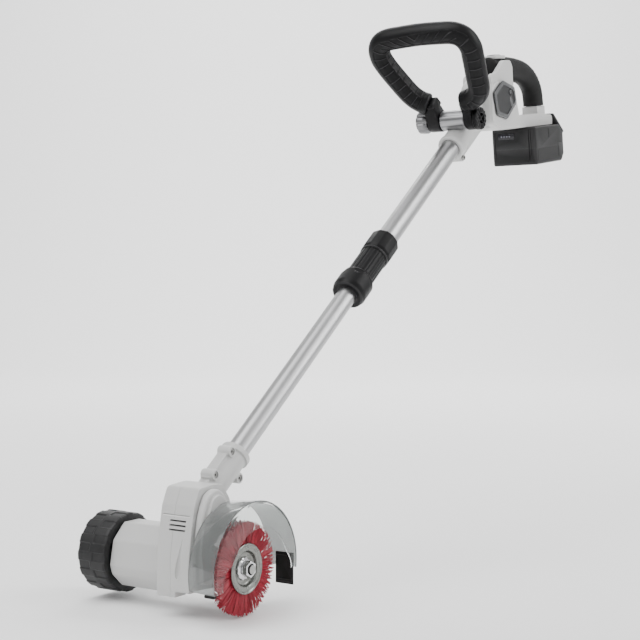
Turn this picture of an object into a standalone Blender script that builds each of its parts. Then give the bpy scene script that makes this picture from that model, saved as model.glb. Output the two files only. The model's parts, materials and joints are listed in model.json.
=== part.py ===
"""Cordless rotary brush edger: a telescopic tube with a motor head, a brush and a guide wheel below,
and a D-grip, a tilting loop handle and a slide-on battery above.

The origin is the middle of the D-grip's top bar.  +X runs along the brush axis from the guide wheel
to the brush, +Y points back to the user and +Z points up.  Lengths in this file are millimetres.
"""
import math

import bmesh
import bpy
from mathutils import Matrix, Vector

MM = 0.001
GAP = 0.3                               # clearance between neighbouring pieces
SEAM = 0.15                             # half of the gap between two moulded halves
MANY_CUTS = ("head_shell", "handle_shell", "grip_rubber")   # pieces whose cuts need the MANIFOLD solver

# Driving places, as (y, z) in the plane of symmetry
BRUSH_AXIS = (-785.0, -630.0)
TUBE_FOOT = (-815.4, -590.0)            # the tube's axis where its own scale starts
TUBE_ANGLE = math.radians(37.2)
HANDLE_TILT = math.radians(8.3)
CLAMP_AXIS = (-207.0, -95.0)
LOOP_LEAN = math.radians(43.5)

# Tubes and their lock, along the tube from TUBE_FOOT
LOWER_TUBE_R = 12.5
UPPER_TUBE_R = 14.0
TUBE_WALL = 1.2
LOWER_TUBE_SPAN = (44.0, 560.0)
UPPER_TUBE_SPAN = (451.0, 790.0)
NUT_SPAN = (409.0, 491.7)
COLLAR_SPAN = (492.0, 526.0)
SOCKET_SPAN = (750.0, 796.0)
SOCKET_R = 17.5
NECK_SPAN = (50.0, 119.0)
NECK_R = 15.8

# Motor head, along x from the tube's plane and (y, z) from the brush axis
BARREL_X = (-98.0, -14.0)
TOWER_X = (-20.0, 25.0)
COVER_X = (25.3, 37.9)
BARREL_BORE_R = 31.3
HUB_X = 64.3
BRUSH_R = 51.0
HUB_R = 26.8
GUARD_R = (70.0, 73.0)                  # at the inner and the outer side
GUARD_Y = 2.0                           # the hood's centre lies behind the brush axis
GUARD_X = (38.2, 77.3)
WHEEL_X = (-139.5, -99.6)
WHEEL_R = 44.8
GEAR_MODULE = 1.125
SUN_TEETH = 9
PLANET_TEETH = 12
RING_TEETH = SUN_TEETH + 2 * PLANET_TEETH
PLANETS = 3

# Handle, as (y, z) in the frame tilted by HANDLE_TILT
BODY_HALF = 27.0
RAIL_HALF = 20.0
RAIL_END = 77.0
BATTERY_Y = (-26.0, 77.0)
BATTERY_Z = (-143.0, -85.7)
BATTERY_HALF = 37.5
LOOP_BAR_R = 15.3
EYES = ((-36.0, -17.0), (23.0, 36.0))


def material(name, colour, roughness, metallic=0.0, alpha=1.0):
    """A Principled material."""
    made = bpy.data.materials.new(name)
    made.use_nodes = True
    shader = made.node_tree.nodes["Principled BSDF"]
    shader.inputs["Base Color"].default_value = (*colour, 1.0)
    shader.inputs["Roughness"].default_value = roughness
    shader.inputs["Metallic"].default_value = metallic
    shader.inputs["Alpha"].default_value = alpha
    made.diffuse_color = (*colour, alpha)
    return made


def empty(name, location, turn_x=0.0):
    """A frame that pieces are placed in."""
    made = bpy.data.objects.new(name, None)
    made.location = Vector(location) * MM
    made.rotation_euler = (turn_x, 0.0, 0.0)
    bpy.context.collection.objects.link(made)
    return made


def place(name, mesh, finish, parent, location=(0.0, 0.0, 0.0)):
    """Turn a bmesh in millimetres into a named object whose origin is `location` in its parent."""
    shift = Matrix.Translation(-Vector(location))
    bmesh.ops.transform(mesh, matrix=Matrix.Scale(MM, 4) @ shift, verts=mesh.verts)
    data = bpy.data.meshes.new(name)
    mesh.to_mesh(data)
    mesh.free()
    data.shade_smooth()
    data.set_sharp_from_angle(angle=math.radians(32))
    data.materials.append(finish)
    made = bpy.data.objects.new(name, data)
    made.parent = parent
    made.location = Vector(location) * MM
    bpy.context.collection.objects.link(made)
    return made


def round_edges(target, width, segments=2, angle=40):
    """Bevel the sharp edges of a piece."""
    bevel = target.modifiers.new("rounding", "BEVEL")
    bevel.width = width * MM
    bevel.segments = segments
    bevel.limit_method = "ANGLE"
    bevel.angle_limit = math.radians(angle)


def combine(target, mesh, operation, bevel=0.0):
    """Cut a shape out of a piece, or unite a shape with it."""
    helper = place(f"{target.name}_{operation.lower()}_{len(target.modifiers)}", mesh,
                   target.data.materials[0], target.parent)
    if bevel:
        round_edges(helper, bevel)
    helper.display_type = "WIRE"
    helper.hide_render = True
    boolean = target.modifiers.new(operation.lower(), "BOOLEAN")
    boolean.operation = operation
    boolean.solver = "MANIFOLD" if target.name.startswith(MANY_CUTS) else "EXACT"
    boolean.object = helper


def cut(target, *meshes):
    """Cut shapes out of a piece."""
    for mesh in meshes:
        combine(target, mesh, "DIFFERENCE")


def unite(target, *meshes, bevel=0.0):
    """Unite shapes with a piece."""
    for mesh in meshes:
        combine(target, mesh, "UNION", bevel)


def rounded(corners, radius, steps=2):
    """An outline whose corners are arcs of about `radius`."""
    points = []
    count = len(corners)
    for index, corner in enumerate(corners):
        here = Vector(corner)
        before = Vector(corners[index - 1]) - here
        after = Vector(corners[(index + 1) % count]) - here
        reach = min(radius, 0.45 * before.length, 0.45 * after.length)
        start = here + before.normalized() * reach
        end = here + after.normalized() * reach
        for step in range(steps + 1):
            t = step / steps
            points.append((1 - t) ** 2 * start + 2 * t * (1 - t) * here + t ** 2 * end)
    return [(point.x, point.y) for point in points]


def inset(corners, distance):
    """An outline moved inwards by `distance`, for a wall of even thickness."""
    area = sum(corners[i - 1][0] * corners[i][1] - corners[i][0] * corners[i - 1][1]
               for i in range(len(corners)))
    side = math.copysign(1.0, area)
    points = []
    for index, corner in enumerate(corners):
        before = (Vector(corner) - Vector(corners[index - 1])).normalized()
        after = (Vector(corners[(index + 1) % len(corners)]) - Vector(corner)).normalized()
        first = Vector((-before.y, before.x)) * side
        second = Vector((-after.y, after.x)) * side
        middle = (first + second).normalized()
        points.append(tuple(Vector(corner) + middle * distance / max(middle.dot(first), 0.5)))
    return points


def prism(outline, low, high):
    """A (y, z) outline drawn out along x."""
    mesh = bmesh.new()
    near = [mesh.verts.new((low, y, z)) for y, z in outline]
    far = [mesh.verts.new((high, y, z)) for y, z in outline]
    mesh.faces.new(near)
    mesh.faces.new(reversed(far))
    for index in range(len(outline)):
        mesh.faces.new((near[index - 1], near[index], far[index], far[index - 1]))
    bmesh.ops.recalc_face_normals(mesh, faces=mesh.faces)
    return mesh


def prism_y(outline, low, high):
    """A closed (x, z) outline drawn out along y."""
    mesh = prism([(-x, z) for x, z in outline], low, high)
    bmesh.ops.transform(mesh, matrix=Matrix.Rotation(math.pi / 2, 4, "Z"), verts=mesh.verts)
    return mesh


def block(x_span, y_span, z_span):
    """A box between three pairs of limits."""
    corners = [(y_span[0], z_span[0]), (y_span[1], z_span[0]), (y_span[1], z_span[1]), (y_span[0], z_span[1])]
    return prism(corners, *x_span)


def turned(profile, steps=28, start=0.0, end=math.tau, flat=0):
    """A closed (radius, height) profile turned about z; `flat` makes every n-th facet corner sharp."""
    whole = math.isclose(end - start, math.tau)
    count = flat or steps
    angles = [start + (end - start) * step / count for step in range(count + (not whole))]
    mesh = bmesh.new()
    rings = []
    for angle in angles:
        ring = []
        for index, (radius, height) in enumerate(profile):
            if radius == 0.0 and rings:
                ring.append(rings[0][index])
                continue
            ring.append(mesh.verts.new((radius * math.cos(angle), radius * math.sin(angle), height)))
        rings.append(ring)
    pairs = list(zip(rings, rings[1:]))
    if whole:
        pairs.append((rings[-1], rings[0]))
    else:
        mesh.faces.new(rings[0])
        mesh.faces.new(rings[-1])
    for first, second in pairs:
        for index in range(len(profile)):
            corners = (first[index - 1], first[index], second[index], second[index - 1])
            unique = list(dict.fromkeys(corners))
            if len(unique) > 2:
                mesh.faces.new(unique)
    bmesh.ops.recalc_face_normals(mesh, faces=mesh.faces)
    return mesh


def along_x(mesh, y=0.0, z=0.0):
    """Lay a shape turned about z along x, through (y, z)."""
    bmesh.ops.transform(mesh, matrix=Matrix.Rotation(math.pi / 2, 4, "Y"), verts=mesh.verts)
    bmesh.ops.translate(mesh, vec=(0.0, y, z), verts=mesh.verts)
    return mesh


def rod(radius, low, high, steps=28, hole=0.0):
    """A round bar or a ring about z."""
    return turned([(hole, low), (radius, low), (radius, high), (hole, high)], steps)


def rod_x(radius, low, high, y=0.0, z=0.0, steps=24, hole=0.0):
    """A round bar or a ring about a line along x."""
    return along_x(rod(radius, low, high, steps, hole), y, z)


def rod_z(radius, low, high, y):
    """A round bar upright at (0, y)."""
    mesh = rod(radius, low, high, 16)
    bmesh.ops.translate(mesh, vec=(0.0, y, 0.0), verts=mesh.verts)
    return mesh


def swept(path, normal, section, hole=None):
    """A section of (along `normal`, across) points drawn along a path in the plane square to `normal`."""
    mesh = bmesh.new()
    normal = Vector(normal)
    spine = [Vector(point) for point in path]

    def loops(shape):
        made = []
        for index, point in enumerate(spine):
            ahead = spine[min(index + 1, len(spine) - 1)] - spine[max(index - 1, 0)]
            across = ahead.normalized().cross(normal)
            made.append([mesh.verts.new(point + normal * a + across * b) for a, b in shape])
        return made

    def skin(made):
        for first, second in zip(made, made[1:]):
            for i in range(len(first)):
                mesh.faces.new((first[i - 1], first[i], second[i], second[i - 1]))

    outer = loops(section)
    skin(outer)
    if hole:
        inner = loops(hole)
        skin(inner)
        for ends in ((outer[0], inner[0]), (outer[-1], inner[-1])):
            for i in range(len(section)):
                mesh.faces.new((ends[0][i - 1], ends[0][i], ends[1][i], ends[1][i - 1]))
    else:
        mesh.faces.new(outer[0])
        mesh.faces.new(outer[-1])
    bmesh.ops.recalc_face_normals(mesh, faces=mesh.faces)
    return mesh


def ellipse(half_a, half_b, steps=20, start=0.0, end=math.tau):
    """Points around an ellipse, or along part of it."""
    whole = math.isclose(end - start, math.tau)
    last = steps if whole else steps + 1
    angles = [start + (end - start) * step / steps for step in range(last)]
    return [(half_a * math.cos(angle), half_b * math.sin(angle)) for angle in angles]


def curve_through(points, steps=5):
    """A Catmull-Rom curve through the points of a path."""
    spine = [Vector(point) for point in points]
    spine = [2 * spine[0] - spine[1]] + spine + [2 * spine[-1] - spine[-2]]
    made = []
    for i in range(1, len(spine) - 2):
        a, b, c, d = spine[i - 1:i + 3]
        for step in range(steps):
            t = step / steps
            made.append(0.5 * (2 * b + (c - a) * t + (2 * a - 5 * b + 4 * c - d) * t ** 2
                               + (3 * b - a - 3 * c + d) * t ** 3))
    made.append(spine[-2])
    return made


def gear(teeth, low, high, bore, outer=0.0):
    """A spur gear about x, or an internal gear when `outer` gives its outside radius."""
    pitch = GEAR_MODULE * teeth / 2
    internal = outer > 0.0
    tip = pitch + (-0.5 if internal else 0.5) * GEAR_MODULE
    root = pitch + (1.0 if internal else -1.0) * GEAR_MODULE
    pattern = ((-0.5, root), (-0.09, tip), (0.09, tip))
    outline = []
    for tooth in range(teeth):
        for share, radius in pattern:
            angle = math.tau * (tooth + share) / teeth
            outline.append((radius * math.cos(angle), radius * math.sin(angle)))
    count = len(outline)
    ring = outer if internal else bore
    other = [(ring * math.cos(math.tau * (i / count) - 0.5 * math.tau / teeth),
              ring * math.sin(math.tau * (i / count) - 0.5 * math.tau / teeth)) for i in range(count)]
    mesh = bmesh.new()
    rows = [[mesh.verts.new((x, y, z)) for y, z in shape] for shape in (outline, other) for x in (low, high)]
    quads = ((rows[0], rows[1]), (rows[1], rows[3]), (rows[3], rows[2]), (rows[2], rows[0]))
    for first, second in quads:
        for i in range(count):
            mesh.faces.new((first[i - 1], first[i], second[i], second[i - 1]))
    bmesh.ops.recalc_face_normals(mesh, faces=mesh.faces)
    return mesh


def to_frame(mesh, frame, target):
    """Move a shape from one frame's axes to another frame's axes."""
    turn = Matrix.Rotation(frame["turn"], 4, "X")
    back = Matrix.Rotation(-target["turn"], 4, "X")
    shift = Matrix.Translation(Vector(frame["at"])) @ turn
    home = back @ Matrix.Translation(-Vector(target["at"]))
    bmesh.ops.transform(mesh, matrix=home @ shift, verts=mesh.verts)
    return mesh


HEAD = {"at": (0.0, *BRUSH_AXIS), "turn": 0.0}
TUBE = {"at": (0.0, *TUBE_FOOT), "turn": TUBE_ANGLE - math.pi / 2}
GRIP = {"at": (0.0, 0.0, 0.0), "turn": HANDLE_TILT}
CLAMP = {"at": (0.0, *CLAMP_AXIS), "turn": LOOP_LEAN}


def make_materials():
    """Every finish of the object."""
    return {
        "shell": material("light_grey_plastic", (0.50, 0.50, 0.49), 0.45),
        "black": material("black_plastic", (0.018, 0.018, 0.019), 0.5),
        "rubber": material("black_rubber", (0.012, 0.012, 0.012), 0.75),
        "dark": material("dark_grey_plastic", (0.045, 0.046, 0.048), 0.4),
        "aluminium": material("satin_aluminium", (0.62, 0.62, 0.63), 0.32, 1.0),
        "steel": material("zinc_plated_steel", (0.48, 0.49, 0.47), 0.3, 1.0),
        "chrome": material("chromed_steel", (0.72, 0.72, 0.73), 0.12, 1.0),
        "clear": material("smoky_clear_plastic", (0.55, 0.57, 0.56), 0.12, 0.0, 0.35),
        "bristle": material("red_nylon", (0.30, 0.012, 0.02), 0.55),
        "copper": material("copper_winding", (0.60, 0.25, 0.12), 0.35, 1.0),
        "board": material("green_board", (0.02, 0.12, 0.05), 0.5),
        "cell": material("blue_cell_wrap", (0.03, 0.10, 0.30), 0.4),
        "metal_grey": material("grey_coated_metal", (0.26, 0.27, 0.28), 0.35, 0.8),
    }


# Outlines of the head, as (y, z) from the brush axis
BARREL = [(-13, 36.5), (13, 36.5), (31, 19), (36.5, -8), (33, -19), (17, -34),
          (-17, -34), (-33, -19), (-36.5, -8), (-31, 19)]
TOWER = [(-50, -23), (-50, 12), (-45, 45), (-41, 67), (-32, 86), (-4, 88), (8, 86), (20, 70),
         (34, 40), (38, 10), (38, -23)]
COVER = [(-44, -20), (-45, 18), (-38, 60), (-28, 80), (-13, 85), (-2, 79), (9, 62), (31, 28), (38, -20)]
NECK_BOSSES = ((68.0, -16.5), (105.0, -16.5), (97.0, 16.5))    # along the tube, and across it


def neck_bars(radius, low, high):
    """Bars along x through the screw bosses of the neck, in the head's frame."""
    for along, across in NECK_BOSSES:
        yield to_frame(rod_x(radius, low, high, across, along, 16), TUBE, HEAD)


def keep_side(target, side):
    """Keep what lies on one side of the plane of symmetry, with half of the seam's gap."""
    low, high = (-200.0, SEAM) if side > 0 else (-SEAM, 200.0)
    cut(target, block((low, high), (-400.0, 400.0), (-400.0, 400.0)))


def tower(name, finish, frame):
    """The tower with its clamp round the tube, hollow, bored and still in one piece."""
    low, high = TOWER_X
    made = place(name, prism(rounded(TOWER, 7), low, high), finish["shell"], frame)
    neck = to_frame(rod(NECK_R, *NECK_SPAN, 32), TUBE, HEAD)
    lip = to_frame(rod(NECK_R + 2.5, NECK_SPAN[1] - 7, NECK_SPAN[1] + 0.4, 32), TUBE, HEAD)
    unite(made, *neck_bars(6.2, -6.0, 12.5))
    unite(made, neck, lip)
    cut(made, prism(rounded(inset(TOWER, 3.5), 4), low + 3.0, high - 3.0))
    bore = rod(LOWER_TUBE_R + GAP, NECK_SPAN[0] - 12, NECK_SPAN[1] + 5, 40)
    cut(made, to_frame(bore, TUBE, HEAD), *neck_bars(2.0, -30.0, 30.0), *neck_bars(4.2, 8.0, 30.0))
    return made


def make_head_shells(finish, frame):
    """The barrel with the left tower half, the right tower half and the gearbox cover."""
    left = tower("head_shell_left", finish, frame)
    unite(left, prism(rounded(BARREL, 5), *BARREL_X), block((-19.5, 5.5), (-49.4, -30.0), (-29.0, -20.5)))
    cut(left, rod_x(BARREL_BORE_R, BARREL_X[0] + 4.0, 30.0, steps=40),
        rod_x(5.0 + GAP, BARREL_X[0] - 1.0, BARREL_X[0] + 6.0, steps=20))
    keep_side(left, -1)
    right = tower("head_shell_right", finish, frame)
    unite(right, rod_x(17.0, 13.0, 24.5, steps=32))
    cut(right, rod_x(13.0 + GAP, 12.0, 22.0, steps=32), rod_x(8.0, 20.0, 26.0, steps=24))
    for level in range(3):
        z = 51.7 - 4.8 * level
        cut(right, block((-5.5, 16.5), (-60.0, -36.0), (z - 1.1, z + 1.1)))
        cut(left, block((-5.5, 16.5), (-60.0, -36.0), (z - 1.1, z + 1.1)))
    keep_side(right, 1)
    cover = place("gearbox_cover", prism(rounded(COVER, 9), *COVER_X), finish["shell"], frame)
    round_edges(cover, 4.0, 2)
    cut(cover, prism(rounded(inset(COVER, 5.0), 5), COVER_X[0] - 1, COVER_X[1] - 4),
        rod_x(8.0, 20.0, 50.0, steps=24))


def make_neck_screws(finish, frame):
    """The three screws that clamp the neck on the tube."""
    for index, (along, across) in enumerate(NECK_BOSSES):
        profile = [(0, -5.2), (1.7, -5.2), (1.7, 8.3), (3.6, 8.3), (3.2, 10.6), (0, 10.6)]
        screw = along_x(turned(profile, 10), across, along)
        place(f"neck_screw_{index + 1}", screw, finish["steel"], frame, (0.0, across, along))


def make_motor(finish, frame):
    """The motor's can, its rotor with the sun pinion, and the gearbox's ring."""
    can = [(5.0, -91), (30.8, -91), (30.8, -44), (8.0, -44), (8.0, -46), (27.5, -46), (27.5, -88.5),
           (5.0, -88.5)]
    place("motor_can", along_x(turned(can)), finish["steel"], frame)
    sun = SUN_TEETH * GEAR_MODULE / 2 - 1.0
    rotor = [(0, -92.5), (2.5, -92.5), (2.5, -84), (24, -84), (24, -52), (2.5, -52), (2.5, -42),
             (sun, -41.5), (sun, -25), (0, -25)]
    shaft = place("motor_rotor", along_x(turned(rotor, 24)), finish["copper"], frame)
    unite(shaft, gear(SUN_TEETH, -40.0, -26.0, 1.5))
    place("ring_gear", gear(RING_TEETH, -41.0, -24.5, 0.0, 30.8), finish["dark"], frame)


def make_planets(finish, frame):
    """Three planet gears around the sun pinion."""
    orbit = GEAR_MODULE * (SUN_TEETH + PLANET_TEETH) / 2
    for index in range(PLANETS):
        angle = math.tau * index / PLANETS
        y, z = orbit * math.cos(angle), orbit * math.sin(angle)
        planet = gear(PLANET_TEETH, -40.0, -26.0, 2.2)
        phase = math.pi / PLANET_TEETH + angle * (1 + SUN_TEETH / PLANET_TEETH)
        bmesh.ops.rotate(planet, matrix=Matrix.Rotation(phase, 3, "X"), verts=planet.verts)
        bmesh.ops.translate(planet, vec=(0.0, y, z), verts=planet.verts)
        place(f"planet_gear_{index + 1}", planet, finish["steel"], frame, (0.0, y, z))


def make_spindle(finish, frame):
    """The planet carrier and the brush spindle in one piece, and its bearing."""
    profile = [(0, -23.5), (16, -23.5), (16, -19), (8, -18), (6, -16), (6, 47.5), (4.9, 47.5), (4.9, 71),
               (0, 71)]
    spindle = place("spindle", along_x(turned(profile, 20)), finish["steel"], frame)
    orbit = GEAR_MODULE * (SUN_TEETH + PLANET_TEETH) / 2
    for index in range(PLANETS):
        angle = math.tau * index / PLANETS
        unite(spindle, rod_x(1.8, -39.0, -21.0, orbit * math.cos(angle), orbit * math.sin(angle), 12))
    place("spindle_bearing", rod_x(13.0, 14.5, 21.5, hole=6.0 + GAP), finish["steel"], frame)


def make_brush(finish, frame):
    """The brush: two pressed discs, the bristle ring between them and the nut that holds it."""
    rear = [(5.2, 48), (11, 48), (13, 50), (HUB_R, 51), (HUB_R, 52.2), (12, 52.2), (5.2, 52.2)]
    place("brush_rear_disc", along_x(turned(rear, 24)), finish["steel"], frame, (HUB_X, 0, 0))
    ring = [(12.5, 52.5), (HUB_R, 52.5), (BRUSH_R, 51.0), (BRUSH_R, 63.5), (HUB_R, 61.7), (20.0, 61.7),
            (18.5, 57.0), (12.5, 57.0)]
    place("bristle_ring", along_x(turned(ring, 32)), finish["bristle"], frame, (HUB_X, 0, 0))
    front = [(5.2, 57.4), (18.2, 57.4), (19.7, 62.0), (HUB_R, 62.0), (HUB_R + 0.6, 63.2), (HUB_R, 64.6),
             (HUB_R - 2, 64.3), (19.0, 63.6), (17.2, 58.8), (5.2, 58.8)]
    place("brush_front_disc", along_x(turned(front, 28)), finish["steel"], frame, (HUB_X, 0, 0))
    washer = [(5.2, 59.1), (12.8, 59.1), (12.0, 60.8), (8.5, 62.0), (5.2, 62.0)]
    place("brush_washer", along_x(turned(washer, 20)), finish["chrome"], frame, (HUB_X, 0, 0))
    nut = place("brush_nut", along_x(turned([(6.0, 62.3), (9.2, 62.3), (9.2, 69.2), (6.0, 69.2)], flat=6)),
                finish["chrome"], frame, (HUB_X, 0, 0))
    round_edges(nut, 0.6, 1, 30)


def guard_section(angle):
    """The guard's (radius, x) section at an angle above the front, in degrees."""
    stations = ((-12, 62.0), (4, 57.0), (16, 46.0), (32, 43.0), (100, 44.0), (125, 48.0), (160, 52.0),
                (187, 62.0))
    inner = stations[-1][1]
    for (low, first), (high, second) in zip(stations, stations[1:]):
        if low <= angle <= high:
            share = (angle - low) / (high - low)
            inner = first + (second - first) * (3 * share ** 2 - 2 * share ** 3)
            break
    x0, x1 = GUARD_X
    wall = 1.8
    near, far = GUARD_R
    return [(near, x0), (far, x1 - 2), (far - 1.5, x1), (inner, x1), (inner, x1 - wall),
            (far - wall - 1, x1 - wall), (far - wall, x1 - wall - 1.5), (near - wall, x0 + wall),
            (30.0, x0 + wall), (30.0, x0)]


def make_guard(finish, frame):
    """The clear hood over the brush, its screws, the rubber flap behind and the lip in front."""
    mesh = bmesh.new()
    rings = []
    for step in range(25):
        angle = -12 + 199 * step / 24
        turn = math.radians(angle)
        rings.append([mesh.verts.new((x, GUARD_Y - r * math.cos(turn), r * math.sin(turn)))
                      for r, x in guard_section(angle)])
    mesh.faces.new(rings[0])
    mesh.faces.new(rings[-1])
    for first, second in zip(rings, rings[1:]):
        for i in range(len(first)):
            mesh.faces.new((first[i - 1], first[i], second[i], second[i - 1]))
    bmesh.ops.recalc_face_normals(mesh, faces=mesh.faces)
    hood = place("guard_hood", mesh, finish["clear"], frame)
    for index, (y, z) in enumerate(((-30.0, 24.0), (24.0, 32.0))):
        cut(hood, rod_x(2.3, 30.0, 45.0, y, z, 16))
        cut(bpy.data.objects["gearbox_cover"], rod_x(2.3, 26.0, 45.0, y, z, 16))
        profile = [(0, 29), (2.0, 29), (2.0, 40.3), (4.2, 40.3), (3.8, 42.6), (0, 42.6)]
        screw = along_x(turned(profile, 10), y, z)
        place(f"guard_screw_{index + 1}", screw, finish["steel"], frame, (0.0, y, z))
    flap = place("rear_flap", block((52.0, 75.2), (67.6, 69.8), (-28.0, 7.0)), finish["rubber"], frame)
    round_edges(flap, 0.6, 1)
    lip = place("front_lip", block((60.0, 73.0), (-69.0, -63.5), (-18.4, -15.0)), finish["rubber"], frame)
    round_edges(lip, 1.0, 1)


def make_guide_wheel(finish, frame):
    """The guide wheel: rubber tread on a plastic rim, turning on a shoulder bolt."""
    x0, x1 = WHEEL_X
    middle = ((x0 + x1) / 2, 0.0, 0.0)
    profile = [(36.3, x0), (WHEEL_R - 3, x0), (WHEEL_R, x0 + 3), (WHEEL_R, x1 - 3), (WHEEL_R - 3, x1),
               (36.3, x1)]
    tread = place("wheel_tread", along_x(turned(profile, 32)), finish["rubber"], frame, middle)
    for index in range(14):
        turn = math.tau * index / 14
        span = (x0 - 1, x0 + 14) if index % 2 else (x1 - 14, x1 + 1)
        groove = block(span, (-1.5, 1.5), (WHEEL_R - 1.4, WHEEL_R + 3))
        bmesh.ops.rotate(groove, matrix=Matrix.Rotation(turn, 3, "X"), verts=groove.verts)
        cut(tread, groove)
    rim = [(5.3, -132), (11, -132), (11, -120), (32, -120), (32, -136), (36, -136), (36, -101), (32, -101),
           (32, -116), (11, -116), (11, -101), (5.3, -101)]
    place("wheel_rim", along_x(turned(rim, 28)), finish["dark"], frame, middle)
    cap = [(0, -138.0), (22, -137.4), (31.7, -134.5), (31.7, -132), (24, -134.9), (0, -135.6)]
    place("wheel_cap", along_x(turned(cap, 20)), finish["dark"], frame, middle)
    axle = [(0, -134.6), (9, -134.6), (9, -132.3), (5, -132.3), (5, -94.4), (0, -94.4)]
    place("wheel_axle", along_x(turned(axle, 16)), finish["steel"], frame)


def make_tubes(finish, frame):
    """The telescopic tubes."""
    lower = rod(LOWER_TUBE_R, *LOWER_TUBE_SPAN, 28, LOWER_TUBE_R - TUBE_WALL)
    place("lower_tube", lower, finish["aluminium"], frame)
    upper = rod(UPPER_TUBE_R, *UPPER_TUBE_SPAN, 28, UPPER_TUBE_R - TUBE_WALL)
    place("upper_tube", upper, finish["aluminium"], frame)


def make_tube_lock(finish, frame):
    """The twist lock: a collar fixed on the upper tube, a split cone and the nut that squeezes it."""
    bore = UPPER_TUBE_R + 3 * GAP
    low, high = COLLAR_SPAN
    collar = [(bore, low), (18.5, low), (20.3, low + 4), (20.3, high - 3), (18.5, high), (bore, high)]
    place("lock_collar", turned(collar, flat=12), finish["black"], frame)
    low, high = NUT_SPAN
    small = LOWER_TUBE_R + 0.6
    nut = [(small, low), (20.0, low), (22.4, low + 7), (22.4, low + 30), (18.2, low + 36), (18.2, high - 4),
           (19.2, high - 3), (19.2, high), (bore, high), (bore, low + 44), (17.2, low + 42), (17.2, low + 8),
           (small, low + 5)]
    body = place("lock_nut", turned(nut, 24), finish["black"], frame)
    for index in range(6):
        turn = math.tau * index / 6
        arch = along_x(turned([(0, 20.6), (7.0, 20.6), (7.0, 30.0), (0, 30.0)], 10), 0.0, low + 31)
        bmesh.ops.rotate(arch, matrix=Matrix.Rotation(turn, 3, "Z"), verts=arch.verts)
        cut(body, arch)
    cone_low, cone_high = low + 9.0, low + 41.0
    cone = [(LOWER_TUBE_R + GAP, cone_low), (14.4, cone_low), (16.8, cone_low + 14), (16.8, cone_high),
            (LOWER_TUBE_R + GAP, cone_high)]
    split = place("lock_cone", turned(cone, 24), finish["dark"], frame)
    cut(split, block((-0.8, 0.8), (0.0, 20.0), (cone_low - 2, cone_low + 24)),
        block((-0.8, 0.8), (-20.0, 0.0), (cone_low - 2, cone_low + 24)))


def make_socket(finish, frame):
    """The moulded socket that holds the upper tube, with its clamp screw."""
    low, high = SOCKET_SPAN
    bore = UPPER_TUBE_R + GAP
    profile = [(bore, low), (18.0, low), (19.2, low + 2), (19.2, low + 7), (SOCKET_R, low + 11),
               (SOCKET_R, high), (bore, high)]
    socket = place("tube_socket", turned(profile, 24), finish["shell"], frame)
    boss_y, boss_z = 21.5, low + 9.0
    bulge = rod(16.5, low + 0.5, low + 24.0, 24)
    bmesh.ops.translate(bulge, vec=(0.0, 5.0, 0.0), verts=bulge.verts)
    unite(socket, bulge, rod_x(5.5, -10.0, 10.0, boss_y, boss_z, 20))
    cut(socket, rod(bore, low - 2, high + 2, 40), rod_x(2.0, -20.0, 20.0, boss_y, boss_z, 16),
        rod_x(4.0, 10.0, 20.0, boss_y, boss_z, 16))
    screw = [(0, -9.5), (1.7, -9.5), (1.7, 10.3), (3.6, 10.3), (3.2, 12.6), (0, 12.6)]
    head = along_x(turned(screw, 10), boss_y, boss_z)
    place("socket_screw", head, finish["steel"], frame, (0.0, boss_y, boss_z))


# Handle outlines, as (y, z) in the handle's frame
FRONT = [(-208, -78), (-192, -66), (-168, -58), (-166, -46), (-168, -28), (-162, -17), (-152, -10),
         (-134, -7), (-120, -40), (-120, -80), (-190, -84)]
BODY = [(-150, -73), (-145, -26), (-136, -14), (-124, -12), (-76, -19), (-66, -34), (-57, -60), (-54, -85),
        (-116, -85)]
RAIL = [(-64, -85), (77, -85), (77, -73), (73, -69.5), (30, -66), (-64, -66)]
SPIKE = [(-132, -24), (-122, -16), (-98, 14), (-92, 17), (-76, 17), (-70, 7), (-73, -30)]
GRIP_SPINE = [(-94, 5), (-60, 6), (-25, 4.5), (10, -1), (34, -12), (48, -28), (52, -46), (52, -66)]
GRIP_FRONT = -101.0
GRIP_FOOT = -54.0
HEX_PANEL = [(-113, -12), (-75, -23), (-70, -47), (-105, -70), (-138, -62), (-145, -30)]


def grip_path():
    """The middle line of the D-grip in the handle's frame."""
    return curve_through([(0.0, y, z) for y, z in GRIP_SPINE], 3)


def handle_whole(name, finish, frame):
    """The handle's moulding: body, nose, spikes, rail and the core of the D-grip, not yet in halves."""
    made = place(name, prism(rounded(BODY, 6), -BODY_HALF, BODY_HALF), finish["shell"], frame)
    round_edges(made, 3.0, 2, 60)
    unite(made, prism(rounded(FRONT, 6), -13.0, 13.0))
    unite(made, prism(rounded(SPIKE, 3), 16.6, 24.0), prism(rounded(SPIKE, 3), -24.0, -16.6), bevel=2.0)
    unite(made, prism(RAIL, -RAIL_HALF, RAIL_HALF))
    cut(made, prism(rounded(inset(BODY, 3.0), 4), 2.5 - BODY_HALF, BODY_HALF - 2.5))
    unite(made, swept(grip_path(), (1.0, 0.0, 0.0), ellipse(12.0, 14.0, 12)))
    unite(made, block((-11.0, 11.0), (-97.0, -71.0), (-24.0, -5.0)))
    unite(made, block((-13.5, 13.5), (37.5, 66.0), (-72.0, -54.5)), bevel=2.5)
    clamp_hole = to_frame(rod_x(19.0, -40.0, 40.0), CLAMP, GRIP)
    tube_hole = to_frame(rod(SOCKET_R + GAP, SOCKET_SPAN[0] - 6, SOCKET_SPAN[1] + GAP), TUBE, GRIP)
    cut(made, clamp_hole, tube_hole)
    cut(made, block((-12.6, 12.6), (-34.0, 90.0), (-86.0, -81.0)),
        block((-15.6, 15.6), (-34.0, 90.0), (-83.0, -75.0)))
    trigger_slot = block((-6.4, 6.4), (-58.0, -24.0), (-24.0, 6.0))
    button_slot = block((-6.4, 6.4), (-92.0, -64.0), (8.0, 32.0))
    cut(made, trigger_slot, button_slot)
    return made


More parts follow.
